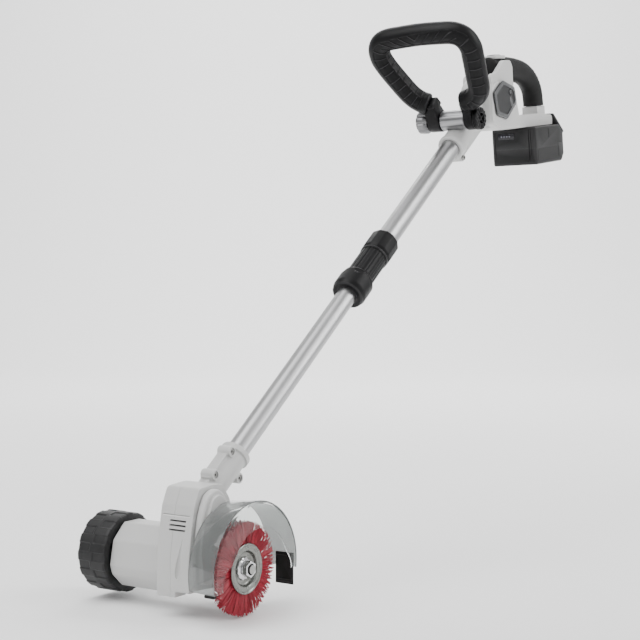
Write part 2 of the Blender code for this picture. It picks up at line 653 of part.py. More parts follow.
def make_handle(finish, frame):
    """The handle's two halves, its grip, panels and top strip."""
    for name, side in (("handle_shell_left", -1), ("handle_shell_right", 1)):
        keep_side(handle_whole(name, finish, frame), side)
        panel = place(name.replace("shell", "panel"), prism(rounded(HEX_PANEL, 4),
                      *sorted((side * (BODY_HALF + GAP), side * 30.5))), finish["dark"], frame)
        round_edges(panel, 1.2, 2)
    outer = ellipse(15.5, 18.0, 12)
    inner = ellipse(12.3 + GAP, 14.3 + GAP, 12)
    path = [Vector((0.0, GRIP_FRONT + 2.0, GRIP_SPINE[0][1]))] + [p for p in grip_path() if p.z > GRIP_FOOT]
    path.append(Vector((0.0, GRIP_SPINE[-1][0], GRIP_FOOT - 2.0)))
    grip = place("grip_rubber", swept(path, (1.0, 0.0, 0.0), outer, inner), finish["rubber"], frame)
    nose = [Vector((0.0, y, GRIP_SPINE[0][1])) for y in (GRIP_FRONT, GRIP_SPINE[0][0] - 2 * GAP)]
    unite(grip, swept(nose, (1.0, 0.0, 0.0), ellipse(14.9, 17.4, 12)))
    cut(grip, block((-30.0, 30.0), (20.0, 90.0), (-80.0, GRIP_FOOT)))
    cut(grip, block((-11.4, 11.4), (-97.4, -70.6), (-30.0, -2.6)))
    cut(grip, block((-6.9, 6.9), (-56.0, -26.0), (-26.0, 0.0)))
    cut(grip, block((-11.3, 11.3), (-97.0, -61.0), (14.0, 40.0)))
    for near, far in ((15.3, 30.0), (-30.0, -15.3)):
        cut(grip, block((near, far), (-140.0, -66.0), (-40.0, 20.0)))
    strip = place("top_strip", block((-11.0, 11.0), (-94.0, -61.3), (20.3, 25.5)), finish["shell"], frame)
    round_edges(strip, 1.2, 2)
    cut(strip, block((-6.4, 6.4), (-90.0, -65.5), (15.0, 30.0)))


def coil(radius, wire, turns, low, high, steps=8):
    """A wire coil about z."""
    mesh = bmesh.new()
    rings = []
    for step in range(turns * steps + 1):
        angle = math.tau * step / steps
        centre = Vector((radius * math.cos(angle), radius * math.sin(angle),
                         low + (high - low) * step / (turns * steps)))
        out = Vector((math.cos(angle), math.sin(angle), 0.0))
        ring = [mesh.verts.new(centre + out * a + Vector((0.0, 0.0, b))) for a, b in ellipse(wire, wire, 4)]
        rings.append(ring)
    mesh.faces.new(rings[0])
    mesh.faces.new(rings[-1])
    for first, second in zip(rings, rings[1:]):
        for i in range(4):
            mesh.faces.new((first[i - 1], first[i], second[i], second[i - 1]))
    bmesh.ops.recalc_face_normals(mesh, faces=mesh.faces)
    return mesh


def make_controls(finish, frame):
    """The trigger, its spring and switch, the lock-off button and the control board."""
    outline = [(-54, -8), (-54, -22), (-50, -28), (-40, -25), (-31, -27), (-28, -20), (-28, -8)]
    pivot = (0.0, -54.0, -8.0)
    trigger = place("trigger", prism(rounded(outline, 3), -6.0, 6.0), finish["black"], frame, pivot)
    cut(trigger, rod_z(3.6, -9.0, -4.0, -41.0))
    spring = coil(2.6, 0.35, 4, -8.0, -0.9)
    bmesh.ops.translate(spring, vec=(0.0, -41.0, 0.0), verts=spring.verts)
    place("trigger_spring", spring, finish["steel"], frame)
    button = block((-6.0, 6.0), (-89.5, -66.0), (16.8, 27.0))
    place("lock_off_button", button, finish["black"], frame, (0.0, -77.7, 20.0))
    place("switch_body", block((-9.0, 9.0), (-112.0, -82.0), (-60.0, -34.0)), finish["black"], frame)
    place("control_board", block((-20.0, -18.4), (-132.0, -80.0), (-70.0, -40.0)), finish["board"], frame)
    place("terminal_block", block((-11.0, 11.0), (-33.5, -28.5), (-82.0, -75.5)), finish["dark"], frame)


def make_clamp(finish, clamp_frame):
    """The barrel that the loop handle tilts on, its bolt with the knob and the locking disc."""
    tilting = rod_x(14.0, EYES[0][1] + 1.0, EYES[1][0] - 1.0, hole=4.3)
    barrel = place("clamp_barrel", tilting, finish["metal_grey"], clamp_frame)
    cut(barrel, to_frame(rod(SOCKET_R + GAP, SOCKET_SPAN[0], SOCKET_SPAN[1] + 20), TUBE, CLAMP))
    bolt = [(0, -50), (4.0, -50), (4.0, 38.2), (0, 38.2)]
    place("clamp_bolt", along_x(turned(bolt, 16)), finish["steel"], clamp_frame)
    profile = [(4.3, -52), (10, -55), (15.5, -54), (16.6, -51), (16.6, -42), (14, -37.3), (4.3, -37.3)]
    knob = place("clamp_knob", along_x(turned(profile, 24)), finish["metal_grey"], clamp_frame)
    for index in range(8):
        angle = math.tau * index / 8
        cut(knob, rod_x(2.6, -60.0, -30.0, 18.2 * math.cos(angle), 18.2 * math.sin(angle), 8))
    disc = [(4.6, 36.3), (14.5, 36.3), (15.8, 38), (15.8, 43), (13, 44.5), (8, 44.5), (8, 38.5), (4.6, 38.5)]
    place("locking_disc", along_x(turned(disc, 24)), finish["black"], clamp_frame)


def make_loop_handle(finish, clamp_frame):
    """The loop handle: a round bar bent in a wide arch between two clamp eyes."""
    left = [(-28, 31), (-39, 36.5), (-50, 49), (-60.5, 75), (-71, 104.5), (-74, 122), (-68.5, 138), (-54, 147),
            (-27, 149.5)]
    right = [(25, 149.5), (50, 147), (64, 138), (69, 122), (67, 104.5), (62, 75), (57, 49), (45, 36.5), (28, 31)]
    spine = [(x, 0.0, z) for x, z in left + [(0, 150.5)] + right]
    bar = swept(curve_through(spine, 2), (0.0, 1.0, 0.0), ellipse(LOOP_BAR_R, LOOP_BAR_R, 12))
    loop = place("loop_handle", bar, finish["black"], clamp_frame)
    eye = [(-10, 30), (-6, 36), (14, 37)] + [(15.5 * math.cos(a), 15.5 * math.sin(a))
                                            for a in [math.radians(20 - 200 * i / 15) for i in range(16)]]
    for span in EYES:
        unite(loop, prism(eye, *span))
    cut(loop, rod_x(4.3, -40.0, 40.0, steps=20))


def make_battery(finish, frame):
    """The slide-on battery: case halves with its shoe, cells, gauge and release button."""
    y0, y1 = BATTERY_Y
    z0, z1 = BATTERY_Z
    split = z0 + 25.0
    h = BATTERY_HALF
    outline = [(y0, z0), (y1 - 9, z0), (y1, z0 + 11), (y1, z1 - 12), (y1 - 12, z1), (y0, z1)]
    for name, span in (("battery_case_lower", (split, 0.0)), ("battery_case_upper", (-200.0, split + GAP))):
        case = place(name, prism(outline, -h, h), finish["black"], frame)
        round_edges(case, 3.0, 2, 30)
        cut(case, prism(inset(outline, 2.5), 2.5 - h, h - 2.5), block((-60.0, 60.0), (-60.0, 120.0), span))
    hump = [(26, -98), (25, -91), (14, -73), (-14, -73), (-25, -91), (-26, -98)]
    unite(case, prism_y(hump, RAIL_END + 1, 84.0), bevel=1.2)
    unite(case, block((-25.0, 25.0), (y1 - 13, RAIL_END + 2), (-97.5, z1)),
          block((-12.0, 12.0), (-25.0, RAIL_END + 2), (z1 - 2, -80.0)),
          block((-15.0, 15.0), (-25.0, RAIL_END + 2), (-82.4, -76.0)))
    cut(case, block((-10.0, 10.0), (RAIL_END + 4, 100.0), (-90.2, -70.0)))
    button = block((-9.6, 9.6), (RAIL_END + 4.4, 85.0), (-87.6, -71.0))
    place("battery_release", button, finish["dark"], frame, (0.0, 82.0, -80.0))
    for index in range(5):
        y = y0 + 12.0 + 19.0 * index
        z = z0 + 18.0
        cell = rod_x(9.0, -32.5, 32.5, y, z, 16)
        place(f"battery_cell_{index + 1}", cell, finish["cell"], frame, (0.0, y, z))


def main():
    """Build every piece."""
    for old in list(bpy.data.objects):
        bpy.data.objects.remove(old, do_unlink=True)
    finish = make_materials()
    frames = {name: empty(name, frame["at"], frame["turn"])
              for name, frame in (("head", HEAD), ("tube", TUBE), ("grip", GRIP), ("clamp", CLAMP))}
    make_head_shells(finish, frames["head"])
    make_neck_screws(finish, frames["tube"])
    make_motor(finish, frames["head"])
    make_planets(finish, frames["head"])
    make_spindle(finish, frames["head"])
    make_brush(finish, frames["head"])
    make_guard(finish, frames["head"])
    make_guide_wheel(finish, frames["head"])
    make_tubes(finish, frames["tube"])
    make_tube_lock(finish, frames["tube"])
    make_socket(finish, frames["tube"])
    make_handle(finish, frames["grip"])
    make_controls(finish, frames["grip"])
    make_clamp(finish, frames["clamp"])
    make_loop_handle(finish, frames["clamp"])
    make_battery(finish, frames["grip"])


main()
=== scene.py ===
"""Looks of the cordless rotary brush edger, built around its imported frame.

Shapes are drawn in millimetres in four frames: the head's, centred on the brush axis; the tube's, with z
up the tube; the handle's, centred on the D-grip's top bar; and the clamp's, with z out along the loop.
"""
import json
import random
from math import atan2, ceil, copysign, cos, degrees, hypot, pi, radians, sin, sqrt, tau

import bmesh
import bpy
from mathutils import Matrix, Vector


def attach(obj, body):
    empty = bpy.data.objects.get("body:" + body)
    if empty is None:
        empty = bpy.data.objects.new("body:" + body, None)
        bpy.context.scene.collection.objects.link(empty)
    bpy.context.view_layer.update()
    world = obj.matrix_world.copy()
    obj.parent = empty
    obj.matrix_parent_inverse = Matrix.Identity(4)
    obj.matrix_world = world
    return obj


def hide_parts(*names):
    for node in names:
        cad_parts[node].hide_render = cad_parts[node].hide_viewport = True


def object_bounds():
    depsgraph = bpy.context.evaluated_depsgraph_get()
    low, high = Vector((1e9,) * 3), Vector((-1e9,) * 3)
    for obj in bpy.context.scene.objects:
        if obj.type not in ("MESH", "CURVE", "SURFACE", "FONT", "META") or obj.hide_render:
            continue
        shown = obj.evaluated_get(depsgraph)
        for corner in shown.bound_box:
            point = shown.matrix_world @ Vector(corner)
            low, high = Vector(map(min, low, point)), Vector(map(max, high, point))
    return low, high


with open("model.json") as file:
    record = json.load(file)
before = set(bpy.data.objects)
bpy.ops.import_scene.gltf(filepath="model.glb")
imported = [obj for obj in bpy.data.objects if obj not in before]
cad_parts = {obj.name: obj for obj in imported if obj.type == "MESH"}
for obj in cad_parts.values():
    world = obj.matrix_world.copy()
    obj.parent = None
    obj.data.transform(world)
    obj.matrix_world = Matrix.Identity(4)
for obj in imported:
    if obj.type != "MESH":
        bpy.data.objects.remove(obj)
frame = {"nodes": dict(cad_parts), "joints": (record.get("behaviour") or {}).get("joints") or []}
cad_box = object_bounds()

MM = 0.001
GAP = 0.3
JOINTS = {joint["name"]: joint for joint in frame["joints"]}
RANDOM = random.Random(7)

# Frames
BRUSH_AXIS = Vector((0.0, *JOINTS["brush_spin"]["pos_m"][1:]))
CLAMP_AXIS = Vector(JOINTS["loop_tilt"]["pos_m"])
TUBE_FOOT = BRUSH_AXIS + Vector((0.0, -30.4, 40.0)) * MM
TUBE_TURN = -atan2(JOINTS["tube_slide"]["axis"][1], JOINTS["tube_slide"]["axis"][2])
HANDLE_TURN = atan2(JOINTS["battery_slide"]["axis"][2], JOINTS["battery_slide"]["axis"][1])
LOOP_LEAN = radians(43.5)


def placed(at, turn):
    """A frame's matrix from millimetres to the row frame's metres."""
    return Matrix.Translation(at) @ Matrix.Rotation(turn, 4, "X") @ Matrix.Scale(MM, 4)


HEAD = placed(BRUSH_AXIS, 0.0)
TUBE = placed(TUBE_FOOT, TUBE_TURN)
GRIP = placed(Vector((0.0, 0.0, 0.0)), HANDLE_TURN)
CLAMP = placed(CLAMP_AXIS, LOOP_LEAN)

# Sizes that several pieces share, in millimetres
LOWER_TUBE_R = 12.5
UPPER_TUBE_R = 14.0
TUBE_WALL = 1.2
LOWER_TUBE_SPAN = (44.0, 560.0)
UPPER_TUBE_SPAN = (451.0, 790.0)
NUT_SPAN = (409.0, 491.7)
COLLAR_SPAN = (492.0, 526.0)
SOCKET_SPAN = (750.0, 796.0)
SOCKET_R = 17.5
NECK_SPAN = (50.0, 119.0)
NECK_R = 15.8
BARREL_X = (-98.0, -14.0)
TOWER_X = (-20.0, 25.0)
COVER_X = (25.3, 37.9)
BARREL_BORE_R = 31.3
BRUSH_R = 51.0
HUB_R = 26.8
STRANDS = 1100
GUARD_R = (70.0, 73.0)
GUARD_Y = 2.0
GUARD_X = (38.2, 77.3)
GUARD_SCREWS = ((-30.0, 24.0), (24.0, 32.0))
WHEEL_X = (-139.5, -99.6)
WHEEL_R = 44.8
TREAD_BLOCKS = 14
BODY_HALF = 27.0
RAIL_HALF = 20.0
RAIL_END = 77.0
BATTERY_Y = (-26.0, 77.0)
BATTERY_Z = (-143.0, -85.7)
BATTERY_HALF = 37.5
LOOP_BAR_R = 15.3
EYE_R = 15.2

BARREL = [(-13, 36.5), (13, 36.5), (31, 19), (36.5, -8), (33, -19), (17, -34),
          (-17, -34), (-33, -19), (-36.5, -8), (-31, 19)]
TOWER = [(-50, -23), (-50, 12), (-45, 45), (-41, 67), (-32, 86), (-4, 88), (8, 86), (20, 70),
         (34, 40), (38, 10), (38, -23)]
COVER = [(-44, -20), (-45, 18), (-38, 60), (-28, 80), (-13, 85), (-2, 79), (9, 62), (31, 28), (38, -20)]
NECK_BOSSES = ((68.0, -16.5), (105.0, -16.5), (97.0, 16.5))
FRONT = [(-208, -78), (-192, -66), (-168, -58), (-166, -46), (-168, -28), (-162, -17), (-152, -10),
         (-134, -7), (-120, -40), (-120, -80), (-190, -84)]
BODY = [(-150, -73), (-145, -26), (-136, -14), (-124, -12), (-76, -19), (-66, -34), (-57, -60), (-54, -85),
        (-116, -85)]
RAIL = [(-64, -85), (77, -85), (77, -73), (73, -69.5), (30, -66), (-64, -66)]
SPIKE = [(-140, -26), (-138, -6), (-132, -1.5), (-122, -1.5), (-97, 15), (-92, 17), (-72, 17), (-65, 8),
         (-66, -32)]
GRIP_SPINE = [(-94, 5), (-60, 6), (-25, 4.5), (10, -1), (34, -12), (48, -28), (52, -46), (52, -66)]
GRIP_FRONT = -101.0
GRIP_FOOT = -54.0
HEX_PANEL = [(-113, -12), (-75, -23), (-70, -47), (-105, -70), (-138, -62), (-145, -30)]
LOOP_SPINE = [(-28, 31), (-39, 36.5), (-50, 49), (-60.5, 74), (-70, 102), (-72.5, 119), (-67.5, 134.5),
              (-54, 143.3), (-27, 145.7), (0, 146.6), (25, 145.7), (50, 143.3), (64, 134.5), (69, 119),
              (67, 102), (62, 74), (57, 49), (45, 36.5), (28, 31)]


# ---- outlines and solids

def rounded(corners, radius, steps=6):
    """An outline whose corners are arcs of about `radius`."""
    points = []
    for index, corner in enumerate(corners):
        here = Vector(corner)
        before = Vector(corners[index - 1]) - here
        after = Vector(corners[(index + 1) % len(corners)]) - here
        reach = min(radius, 0.45 * before.length, 0.45 * after.length)
        start = here + before.normalized() * reach
        end = here + after.normalized() * reach
        for step in range(steps + 1):
            t = step / steps
            points.append((1 - t) ** 2 * start + 2 * t * (1 - t) * here + t ** 2 * end)
    return [(point.x, point.y) for point in points]


def inset(corners, distance):
    """An outline moved inwards by `distance`, or outwards if it is negative."""
    area = sum(corners[i - 1][0] * corners[i][1] - corners[i][0] * corners[i - 1][1]
               for i in range(len(corners)))
    side = copysign(1.0, area)
    points = []
    for index, corner in enumerate(corners):
        before = (Vector(corner) - Vector(corners[index - 1])).normalized()
        after = (Vector(corners[(index + 1) % len(corners)]) - Vector(corner)).normalized()
        first = Vector((-before.y, before.x)) * side
        second = Vector((-after.y, after.x)) * side
        middle = (first + second).normalized()
        points.append(tuple(Vector(corner) + middle * distance / max(middle.dot(first), 0.5)))
    return points


def closed(mesh):
    """Face normals pointing outwards."""
    bmesh.ops.recalc_face_normals(mesh, faces=mesh.faces)
    return mesh


def wrap(mesh, rings):
    """Faces from ring to ring of points, and over both ends."""
    mesh.faces.new(rings[0])
    mesh.faces.new(rings[-1])
    for first, second in zip(rings, rings[1:]):
        for i in range(len(first)):
            mesh.faces.new((first[i - 1], first[i], second[i], second[i - 1]))
    return mesh


def prism(outline, low, high):
    """A (y, z) outline drawn out along x."""
    mesh = bmesh.new()
    near = [mesh.verts.new((low, y, z)) for y, z in outline]
    far = [mesh.verts.new((high, y, z)) for y, z in outline]
    mesh.faces.new(near)
    mesh.faces.new(reversed(far))
    for index in range(len(outline)):
        mesh.faces.new((near[index - 1], near[index], far[index], far[index - 1]))
    return closed(mesh)


def band(outline, depth, half):
    """A thin ring about x = 0 that reaches `depth` into a prism with that outline, for a seam."""
    outer, inner = inset(outline, -6.0), inset(outline, depth)
    mesh = bmesh.new()
    rows = [[mesh.verts.new((x, y, z)) for y, z in shape] for shape in (outer, inner) for x in (-half, half)]
    for first, second in ((0, 1), (1, 3), (3, 2), (2, 0)):
        a, b = rows[first], rows[second]
        for i in range(len(outline)):
            mesh.faces.new((a[i - 1], a[i], b[i], b[i - 1]))
    return closed(mesh)


def prism_y(outline, low, high):
    """A closed (x, z) outline drawn out along y."""
    mesh = prism([(-x, z) for x, z in outline], low, high)
    bmesh.ops.transform(mesh, matrix=Matrix.Rotation(pi / 2, 4, "Z"), verts=mesh.verts)
    return mesh


def block(x_span, y_span, z_span):
    """A box between three pairs of limits."""
    corners = [(y_span[0], z_span[0]), (y_span[1], z_span[0]), (y_span[1], z_span[1]), (y_span[0], z_span[1])]
    return prism(corners, *x_span)


def lathe(profile, steps=64, relief=None):
    """A closed (radius, height) profile turned about z; relief(radius, height, angle) changes a pair."""
    mesh = bmesh.new()
    rings = []
    for step in range(steps):
        angle = tau * step / steps
        ring = []
        for index, (radius, height) in enumerate(profile):
            if relief and radius > 0.0:
                radius, height = relief(radius, height, angle)
            if radius == 0.0 and rings:
                ring.append(rings[0][index])
                continue
            ring.append(mesh.verts.new((radius * cos(angle), radius * sin(angle), height)))
        rings.append(ring)
    for first, second in zip(rings, rings[1:] + rings[:1]):
        for index in range(len(profile)):
            corners = dict.fromkeys((first[index - 1], first[index], second[index], second[index - 1]))
            if len(corners) > 2:
                mesh.faces.new(corners)
    return closed(mesh)


def along_x(mesh, y=0.0, z=0.0):
    """Lay a shape turned about z along x, through (y, z)."""
    bmesh.ops.transform(mesh, matrix=Matrix.Rotation(pi / 2, 4, "Y"), verts=mesh.verts)
    bmesh.ops.translate(mesh, vec=(0.0, y, z), verts=mesh.verts)
    return mesh


def rod(radius, low, high, steps=48, hole=0.0):
    """A round bar or a ring about z."""
    return lathe([(hole, low), (radius, low), (radius, high), (hole, high)], steps)


def rod_x(radius, low, high, y=0.0, z=0.0, steps=40, hole=0.0):
    """A round bar or a ring about a line along x."""
    return along_x(rod(radius, low, high, steps, hole), y, z)


def finer(profile, size=1.2):
    """A profile with points added so that none of its edges is longer than `size`."""
    points = []
    for first, second in zip(profile, profile[1:] + profile[:1]):
        a, b = Vector(first), Vector(second)
        count = max(1, ceil((b - a).length / size))
        points += [tuple(a.lerp(b, step / count)) for step in range(count)]
    return points


def curve_through(points, steps=12):
    """A Catmull-Rom curve through the points of a path."""
    spine = [Vector(point) for point in points]
    spine = [2 * spine[0] - spine[1]] + spine + [2 * spine[-1] - spine[-2]]
    made = []
    for i in range(1, len(spine) - 2):
        a, b, c, d = spine[i - 1:i + 3]
        for step in range(steps):
            t = step / steps
            made.append(0.5 * (2 * b + (c - a) * t + (2 * a - 5 * b + 4 * c - d) * t ** 2
                               + (3 * b - a - 3 * c + d) * t ** 3))
    made.append(spine[-2])
    return made


def even(path, spacing):
    """A path's points again, evenly `spacing` apart."""
    lengths = [0.0]
    for first, second in zip(path, path[1:]):
        lengths.append(lengths[-1] + (second - first).length)
    count = max(2, round(lengths[-1] / spacing))
    made, index = [], 0
    for step in range(count + 1):
        place = lengths[-1] * step / count
        while index < len(path) - 2 and lengths[index + 1] < place:
            index += 1
        share = (place - lengths[index]) / (lengths[index + 1] - lengths[index])
        made.append(path[index].lerp(path[index + 1], share))
    return made


def swept(path, normal, half_a, half_b, steps=40, relief=None, caps=2.5):
    """An oval drawn along a path in the plane square to `normal`; relief(along, angle) is taken off it."""
    mesh = bmesh.new()
    normal = Vector(normal)
    rings, along = [], 0.0
    total = sum((b - a).length for a, b in zip(path, path[1:]))
    for index, point in enumerate(path):
        ahead = path[min(index + 1, len(path) - 1)] - path[max(index - 1, 0)]
        across = ahead.normalized().cross(normal)
        if index:
            along += (point - path[index - 1]).length
        near_end = min(along, total - along)
        shrink = caps - sqrt(max(caps ** 2 - max(caps - near_end, 0.0) ** 2, 0.0)) if caps else 0.0
        ring = []
        for step in range(steps):
            angle = tau * step / steps
            less = shrink + (relief(along, angle) if relief else 0.0)
            ring.append(mesh.verts.new(point + normal * (half_a - less) * cos(angle)
                                       + across * (half_b - less) * sin(angle)))
        rings.append(ring)
    return closed(wrap(mesh, rings))


def moved(mesh, source, target):
    """A shape drawn in one frame, in another frame's millimetres."""
    bmesh.ops.transform(mesh, matrix=target.inverted() @ source, verts=mesh.verts)
    return mesh


# ---- objects

def in_scene(name, data):
    """A new object of the scene for that data."""
    made = bpy.data.objects.new(name, data)
    bpy.context.scene.collection.objects.link(made)
    return made


def new_object(name, mesh):
    """An object with that mesh, not yet riding on a body."""
    data = bpy.data.meshes.new(name)
    mesh.to_mesh(data)
    mesh.free()
    return in_scene(name, data)


def settle(made):
    """Apply a piece's modifiers."""
    graph = bpy.context.evaluated_depsgraph_get()
    data = bpy.data.meshes.new_from_object(made.evaluated_get(graph))
    made.modifiers.clear()
    made.data = data
    return made


def bevel(made, width, segments=3, angle=35):
    """Round the sharp edges of a piece, in its own millimetres."""
    modifier = made.modifiers.new("bevel", "BEVEL")
    modifier.width = width
    modifier.segments = segments
    modifier.limit_method = "ANGLE"
    modifier.angle_limit = radians(angle)
    modifier.use_clamp_overlap = False
    return settle(made)


def as_mesh(made):
    """A helper object's mesh, with the object removed."""
    mesh = bmesh.new()
    mesh.from_mesh(made.data)
    bpy.data.objects.remove(made)
    return mesh


def boolean(made, operation, meshes):
    """Cut shapes out of a piece or unite them with it."""
    for mesh in meshes:
        helper = new_object("helper", mesh)
        modifier = made.modifiers.new("boolean", "BOOLEAN")
        modifier.operation = operation
        modifier.solver = "MANIFOLD"
        modifier.object = helper
        settle(made)
        bpy.data.objects.remove(helper)
    return made


def cut(made, *meshes):
    """Cut shapes out of a piece."""
    return boolean(made, "DIFFERENCE", meshes)


def unite(made, *meshes):
    """Unite shapes with a piece."""
    return boolean(made, "UNION", meshes)


def moulded(name, meshes, voxel=0.9, smoothing=5):
    """Shapes that overlap, grown together into one moulding with soft inner corners."""
    whole = bmesh.new()
    for mesh in meshes:
        data = bpy.data.meshes.new("part")
        mesh.to_mesh(data)
        mesh.free()
        whole.from_mesh(data)
        bpy.data.meshes.remove(data)
    made = new_object(name, whole)
    remesh = made.modifiers.new("remesh", "REMESH")
    remesh.mode = "VOXEL"
    remesh.voxel_size = voxel
    smooth = made.modifiers.new("smooth", "SMOOTH")
    smooth.factor = 0.5
    smooth.iterations = smoothing
    return settle(made)


def place(made, finish, body, at, slot, *replaced, sharp=32):
    """Give a piece its finish, unless it has some, put it in the row frame and let it ride on its body."""
    made.data.transform(at)
    if at.determinant() < 0:
        made.data.flip_normals()
    if finish:
        made.data.materials.clear()
        made.data.materials.append(finish)
    made.data.shade_smooth()
    if sharp:
        made.data.set_sharp_from_angle(angle=radians(sharp))
    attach(made, body)
    if replaced:
        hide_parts(*replaced)
    return made


def two_tone(made, first, second, is_second):
    """Two finishes on one piece; is_second(centre of a face) says which faces have the second."""
    made.data.materials.clear()
    made.data.materials.append(first)
    made.data.materials.append(second)
    for face in made.data.polygons:
        face.material_index = 1 if is_second(face.center) else 0


# ---- finishes

def node(tree, kind, **inputs):
    """A new node with some of its inputs set."""
    made = tree.nodes.new("ShaderNode" + kind)
    for socket, value in inputs.items():
        made.inputs[socket.replace("_", " ")].default_value = value
    return made


def mix(tree, factor, first, second):
    """A colour that goes from the first to the second, each a value or an output, with the factor."""
    made = tree.nodes.new("ShaderNodeMix")
    made.data_type = "RGBA"
    tree.links.new(factor, made.inputs["Factor"])
    for socket, colour in (("A", first), ("B", second)):
        if isinstance(colour, bpy.types.NodeSocket):
            tree.links.new(colour, made.inputs[socket])
        else:
            made.inputs[socket].default_value = (*[min(1.0, c) for c in colour], 1.0)
    return made.outputs["Result"]


def bump(tree, height, strength, distance):
    """Raise the surface of a finish by a height."""
    made = node(tree, "Bump", Strength=strength, Distance=distance)
    tree.links.new(height, made.inputs["Height"])
    tree.links.new(made.outputs["Normal"], tree.nodes["Principled BSDF"].inputs["Normal"])


def finish(name, colour, roughness, metallic=0.0, vary=0.08, patch=40.0, grain=0.0, grain_scale=1800.0,
           rough_vary=0.08, edges=0.0, **sockets):
    """A Principled finish whose colour and roughness wander, with a fine moulded or worn grain; a nonzero
    edges paints highlights by lightening the colour on sharp edges.
    """
    made = bpy.data.materials.new(name)
    made.use_nodes = True
    tree = made.node_tree
    shader = tree.nodes["Principled BSDF"]
    for socket, value in {"Metallic": metallic, **sockets}.items():
        shader.inputs[socket.replace("_", " ")].default_value = value
    spot = node(tree, "TexCoord").outputs["Object"]
    cloud = node(tree, "TexNoise", Scale=patch, Detail=5.0)
    tree.links.new(spot, cloud.inputs["Vector"])
    tint = mix(tree, cloud.outputs["Fac"], [c * (1 - vary) for c in colour], [c * (1 + vary) for c in colour])
    # Painted highlight: where the surface is sharp (pointiness) the base colour is lightened by edges,
    # standing in for light caught on ridges and rims.
    if edges:
        edge_highlight_mask = node(tree, "MapRange", From_Min=0.52, From_Max=0.62)
        tree.links.new(node(tree, "NewGeometry").outputs["Pointiness"], edge_highlight_mask.inputs["Value"])
        tint = mix(tree, edge_highlight_mask.outputs["Result"], tint, [c * (1 + edges) + 0.012 * edges for c in colour])
    tree.links.new(tint, shader.inputs["Base Color"])
    spread = node(tree, "MapRange", To_Min=max(0.02, roughness - rough_vary), To_Max=roughness + rough_vary)
    tree.links.new(cloud.outputs["Fac"], spread.inputs["Value"])
    tree.links.new(spread.outputs["Result"], shader.inputs["Roughness"])
    if grain:
        fine = node(tree, "TexNoise", Scale=grain_scale, Detail=2.0)
        tree.links.new(spot, fine.inputs["Vector"])
        bump(tree, fine.outputs["Fac"], grain, 0.0002)
    return made


def brushed(name, colour, roughness, turn, scale, strength):
    """A metal with fine scratches drawn along one direction of a turned frame."""
    made = finish(name, colour, roughness, 1.0, 0.05, 25.0, rough_vary=0.05)
    tree = made.node_tree
    turned = node(tree, "VectorRotate", Angle=-turn)
    turned.rotation_type = "X_AXIS"
    tree.links.new(node(tree, "TexCoord").outputs["Object"], turned.inputs["Vector"])
    stretched = node(tree, "Mapping", Scale=scale)
    tree.links.new(turned.outputs["Vector"], stretched.inputs["Vector"])
    lines = node(tree, "TexNoise", Scale=1.0, Detail=3.0)
    tree.links.new(stretched.outputs["Vector"], lines.inputs["Vector"])
    bump(tree, lines.outputs["Fac"], strength, 0.0001)
    return made


def spun(name, colour, roughness, pitch, strength):
    """A pressed metal with fine circles about the brush axis."""
    made = finish(name, colour, roughness, 1.0, 0.12, 90.0)
    tree = made.node_tree
    centred = node(tree, "Mapping", Location=-BRUSH_AXIS)
    tree.links.new(node(tree, "TexCoord").outputs["Object"], centred.inputs["Vector"])
    rings = node(tree, "TexWave", Scale=pitch, Distortion=2.0, Detail=3.0)
    rings.wave_type = "RINGS"
    rings.rings_direction = "X"
    tree.links.new(centred.outputs["Vector"], rings.inputs["Vector"])
    bump(tree, rings.outputs["Fac"], strength, 0.0001)
    return made


# The edges values below paint highlights along each finish's sharp edges.
SHELL = finish("light_grey_plastic", (0.50, 0.50, 0.493), 0.40, vary=0.03, grain=0.25, edges=0.35)
BLACK = finish("black_plastic", (0.0045, 0.0045, 0.005), 0.40, vary=0.15, grain=0.3, edges=6.0,
               Specular_IOR_Level=0.15)
PACK = finish("charcoal_plastic", (0.015, 0.015, 0.0155), 0.42, vary=0.12, grain=0.35, edges=1.2,
              Specular_IOR_Level=0.2)
LAMP = finish("pale_lens", (0.20, 0.20, 0.24), 0.25, vary=0.1)
GLOSS = finish("black_gloss_plastic", (0.008, 0.008, 0.012), 0.12, vary=0.1, rough_vary=0.03)
RUBBER = finish("black_rubber", (0.0065, 0.0065, 0.0065), 0.6, vary=0.2, grain=0.6, grain_scale=1200.0,
                edges=1.0, Specular_IOR_Level=0.2)
TREAD = finish("tyre_rubber", (0.0085, 0.0085, 0.009), 0.5, vary=0.3, patch=60.0, grain=0.5,
               grain_scale=900.0, edges=1.5, Specular_IOR_Level=0.36)
DARK = finish("dark_grey_plastic", (0.016, 0.0165, 0.0175), 0.3, vary=0.12, grain=0.2, Specular_IOR_Level=0.3)
# Lighter grey for the panels' raised rim, stud and button: a painted highlight.
PANEL_HIGHLIGHT = finish("panel_painted_highlight", (0.075, 0.077, 0.08), 0.24, vary=0.1, grain=0.15)
COATED = finish("grey_coated_metal", (0.20, 0.20, 0.205), 0.30, 0.9, vary=0.08, grain=0.3, edges=0.6)
TUBE_METAL = brushed("satin_aluminium", (0.40, 0.40, 0.405), 0.36, TUBE_TURN, (2600.0, 2600.0, 12.0), 0.35)
ZINC = spun("zinc_plated_steel", (0.22, 0.225, 0.21), 0.27, 900.0, 0.3)
STEEL = finish("turned_steel", (0.32, 0.32, 0.31), 0.3, 1.0, vary=0.1, grain=0.2)
CHROME = finish("bright_plated_steel", (0.62, 0.62, 0.63), 0.1, 1.0, vary=0.06, rough_vary=0.05)
CLEAR = finish("clear_plastic", (0.90, 0.92, 0.91), 0.04, vary=0.03, patch=15.0, rough_vary=0.03,
               Transmission_Weight=0.98, IOR=1.16)
